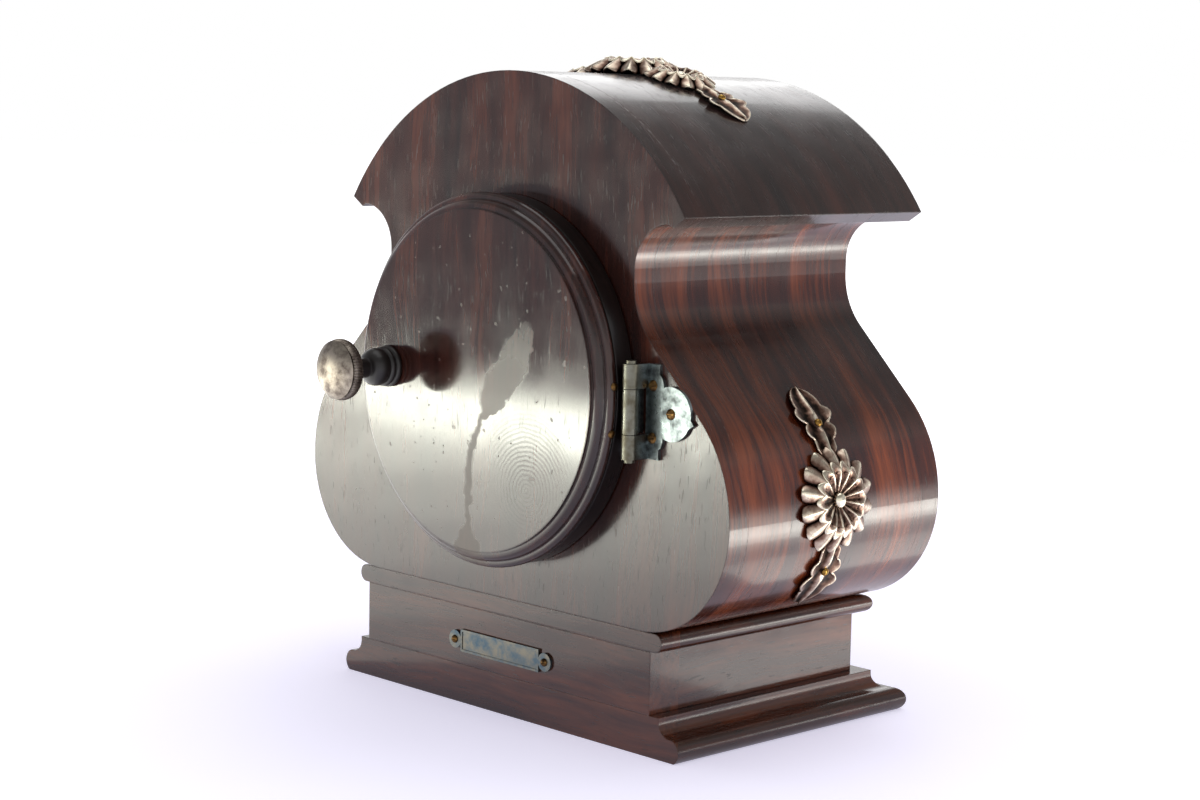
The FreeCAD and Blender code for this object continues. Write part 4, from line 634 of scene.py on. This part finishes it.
# Table, light and camera
# The part stands on a plain white table. Soft light comes from above, from behind and from bright boards
# that lie on the table. The camera doesn't see the boards; they show as reflections in the polish.


def seen_ray(tree):
    """1 for what is seen straight, in a polish or through glass, and 0 for the light that things get."""
    rays = add(tree, "LightPath", {}).outputs
    seen = add(tree, "Math", {0: rays["Is Camera Ray"], 1: rays["Is Glossy Ray"]}, operation="MAXIMUM")
    seen = add(tree, "Math", {0: seen.outputs[0], 1: rays["Is Transmission Ray"]}, operation="MAXIMUM")
    return seen.outputs[0]


table_radius = 9.0
bm = bmesh.new()
bmesh.ops.create_circle(bm, cap_ends=True, segments=64, radius=table_radius)
mesh = bpy.data.meshes.new("table")
bm.to_mesh(mesh)
bm.free()
table = bpy.data.objects.new("table", mesh)
bpy.context.scene.collection.objects.link(table)
# White laminate is matt. Its glow is dimmer and lavender near the part, a painted shadow round the base, and
# it brightens with distance until it runs into the white background
table_top, tree, place = new_material("white_laminate")
matte = add(tree, "BsdfDiffuse", {"Color": linear("#e9e7f0")})
away = add(tree, "VectorMath", {0: place}, operation="LENGTH")
glow_with_painted_shadow = add(tree, "ValToRGB", {"Fac": away.outputs["Value"]},
            stops=[(0.1, linear("#b6b4c6")), (0.35, linear("#d9d8e8")), (0.8, linear("#ffffff"))])
glow = add(tree, "Emission", {"Color": glow_with_painted_shadow.outputs[0], "Strength": 1.0})
both = add(tree, "AddShader", {0: matte.outputs[0], 1: glow.outputs[0]})
shown = add(tree, "MixShader", {0: seen_ray(tree), 1: matte.outputs[0], 2: both.outputs[0]})
add(tree, "OutputMaterial", {"Surface": shown.outputs[0]})
mesh.materials.append(table_top)

world = bpy.data.worlds.new("studio")
bpy.context.scene.world = world
world.use_nodes = True
tree = world.node_tree
tree.nodes.clear()
heading = add(tree, "TexCoord", {}).outputs["Generated"]
height = add(tree, "SeparateXYZ", {0: heading}).outputs[2]
room = add(tree, "ValToRGB", {"Fac": height}, stops=[(0.0, 0.85), (0.3, 0.5), (1.0, 0.2)])
wall = add(tree, "ValToRGB", {"Fac": height}, stops=[(0.3, 1.0), (0.6, 0.3)])
backdrop = add(tree, "Mix", {0: seen_ray(tree), 6: room.outputs[0], 7: wall.outputs[0]}, data_type="RGBA")
sky = add(tree, "Background", {"Color": backdrop.outputs[2], "Strength": 1.0})
add(tree, "OutputWorld", {"Surface": sky.outputs[0]})


def lamp(name, width, depth, radiance, place, facing, colour="#ffffff"):
    """Soft rectangular lamp; radiance 1 looks as white as the table. It faces the given direction."""
    light = bpy.data.lights.new(name, "AREA")
    light.shape = "RECTANGLE"
    light.size = width
    light.size_y = depth
    light.energy = radiance * math.pi * width * depth
    light.color = linear(colour)[:3]
    holder = bpy.data.objects.new(name, light)
    turn = Vector(facing).to_track_quat("-Z", "Y").to_matrix().to_4x4()
    holder.matrix_world = Matrix.Translation(place) @ turn
    holder.visible_camera = False
    bpy.context.scene.collection.objects.link(holder)
    return holder


lamp("overhead", width=1.6, depth=1.6, radiance=1.4, place=(0.0, 0.25, 1.7), facing=(0.0, -0.12, -1.0))
# Boards lie in a row from the door to the left front, each brighter than the one before it
board_height = 0.001
board_width = 0.75
board_turn = math.radians(46.2)
to_left_front = Vector((-0.722, -0.692, 0.0))
upward = (0, 0, 1)
warm_white = "#fdffee"
near = 0.1
for far, radiance in ((0.17, 0.8), (0.27, 1.6), (0.4, 2.9), (0.55, 4.3), (0.72, 7.2)):
    spot = to_left_front * (near + far) / 2
    spot.z = board_height
    light = lamp("board", board_width, far - near, radiance, spot, upward, warm_white)
    light.matrix_world = light.matrix_world @ Matrix.Rotation(board_turn, 4, "Z")
    near = far
# The two brightest boards lie parallel to the panel, over the ends of the others
left, right = -0.95, -0.35
near = 0.468
for far, radiance in ((0.544, 16.0), (0.613, 28.0)):
    spot = ((left + right) / 2, -(near + far) / 2, 2 * board_height)
    lamp("bright_board", right - left, far - near, radiance, spot, upward, warm_white)
    near = far
lamp("behind_left", width=1.6, depth=0.7, radiance=1.6, place=(-1.1, 1.4, 0.95), facing=(1.1, -1.4, -0.85))
# Boards to the right give the curved side its long highlights
low = 0.02
left = 0.1
for right, high, radiance in ((0.145, 0.2, 2.2), (0.175, 0.27, 1.0), (0.205, 0.29, 1.5), (0.24, 0.32, 7.0),
                              (0.3, 0.36, 12.0), (0.37, 0.4, 6.0), (0.5, 0.5, 3.0), (0.95, 0.9, 1.2)):
    spot = ((left + right) / 2, (low + high) / 2, board_height)
    lamp("right_board", right - left, high - low, radiance, spot, upward, "#fffef4")
    left = right

# Two grey cards stand beyond the boards, where only the polish shows them
to_right_back = Vector((0.66, 0.751, 0.0))
# The cards glow a dim grey of their own instead of being lit, and give the upper polish an even, dim sheen
glowing_grey, tree, place = new_material("glowing_grey_card")
glow = add(tree, "Emission", {"Color": linear("#bebec6"), "Strength": 1.0})
add(tree, "OutputMaterial", {"Surface": glow.outputs[0]})
for name, way, lowest, width, height in (("left_card", to_left_front, 0.0, 1.8, 0.6),
                                         ("right_card", to_right_back * 1.5, 0.06, 1.6, 0.7)):
    bm = bmesh.new()
    bmesh.ops.create_grid(bm, x_segments=1, y_segments=1, size=0.5)
    bmesh.ops.scale(bm, vec=(width, height, 1.0), verts=bm.verts)
    upright = (-way).to_track_quat("Z", "Y").to_matrix().to_4x4()
    middle = way + Vector((0.0, 0.0, lowest + height / 2))
    bmesh.ops.transform(bm, matrix=Matrix.Translation(middle) @ upright, verts=bm.verts)
    mesh = bpy.data.meshes.new(name)
    bm.to_mesh(mesh)
    bm.free()
    mesh.materials.append(glowing_grey)
    card = bpy.data.objects.new(name, mesh)
    bpy.context.scene.collection.objects.link(card)
    card.visible_camera = False
    card.visible_diffuse = False
    card.visible_transmission = False
    card.visible_shadow = False

# The camera stands where the photograph was taken from
azimuth = math.radians(46.1245)
elevation = math.radians(7.0473)
roll = math.radians(1.1373)
back = Vector((math.sin(azimuth) * math.cos(elevation), -math.cos(azimuth) * math.cos(elevation),
               math.sin(elevation)))
right = Vector((math.cos(azimuth), math.sin(azimuth), 0.0))
up = back.cross(right)
tilted_right = right * math.cos(roll) + up * math.sin(roll)
tilted_up = up * math.cos(roll) - right * math.sin(roll)
photo_width = 1200
focal_pixels = 2398.92
view = bpy.data.cameras.new("photo_view")
view.sensor_width = 36.0
view.lens = focal_pixels * view.sensor_width / photo_width
camera = bpy.data.objects.new("photo_view", view)
camera_place = Vector((0.554587, -0.544564, 0.192068))
turn = Matrix((tilted_right, tilted_up, back)).transposed().to_4x4()
camera.matrix_world = Matrix.Translation(camera_place) @ turn
bpy.context.scene.collection.objects.link(camera)
bpy.context.scene.camera = camera
bpy.context.scene.view_settings.view_transform = "Standard"
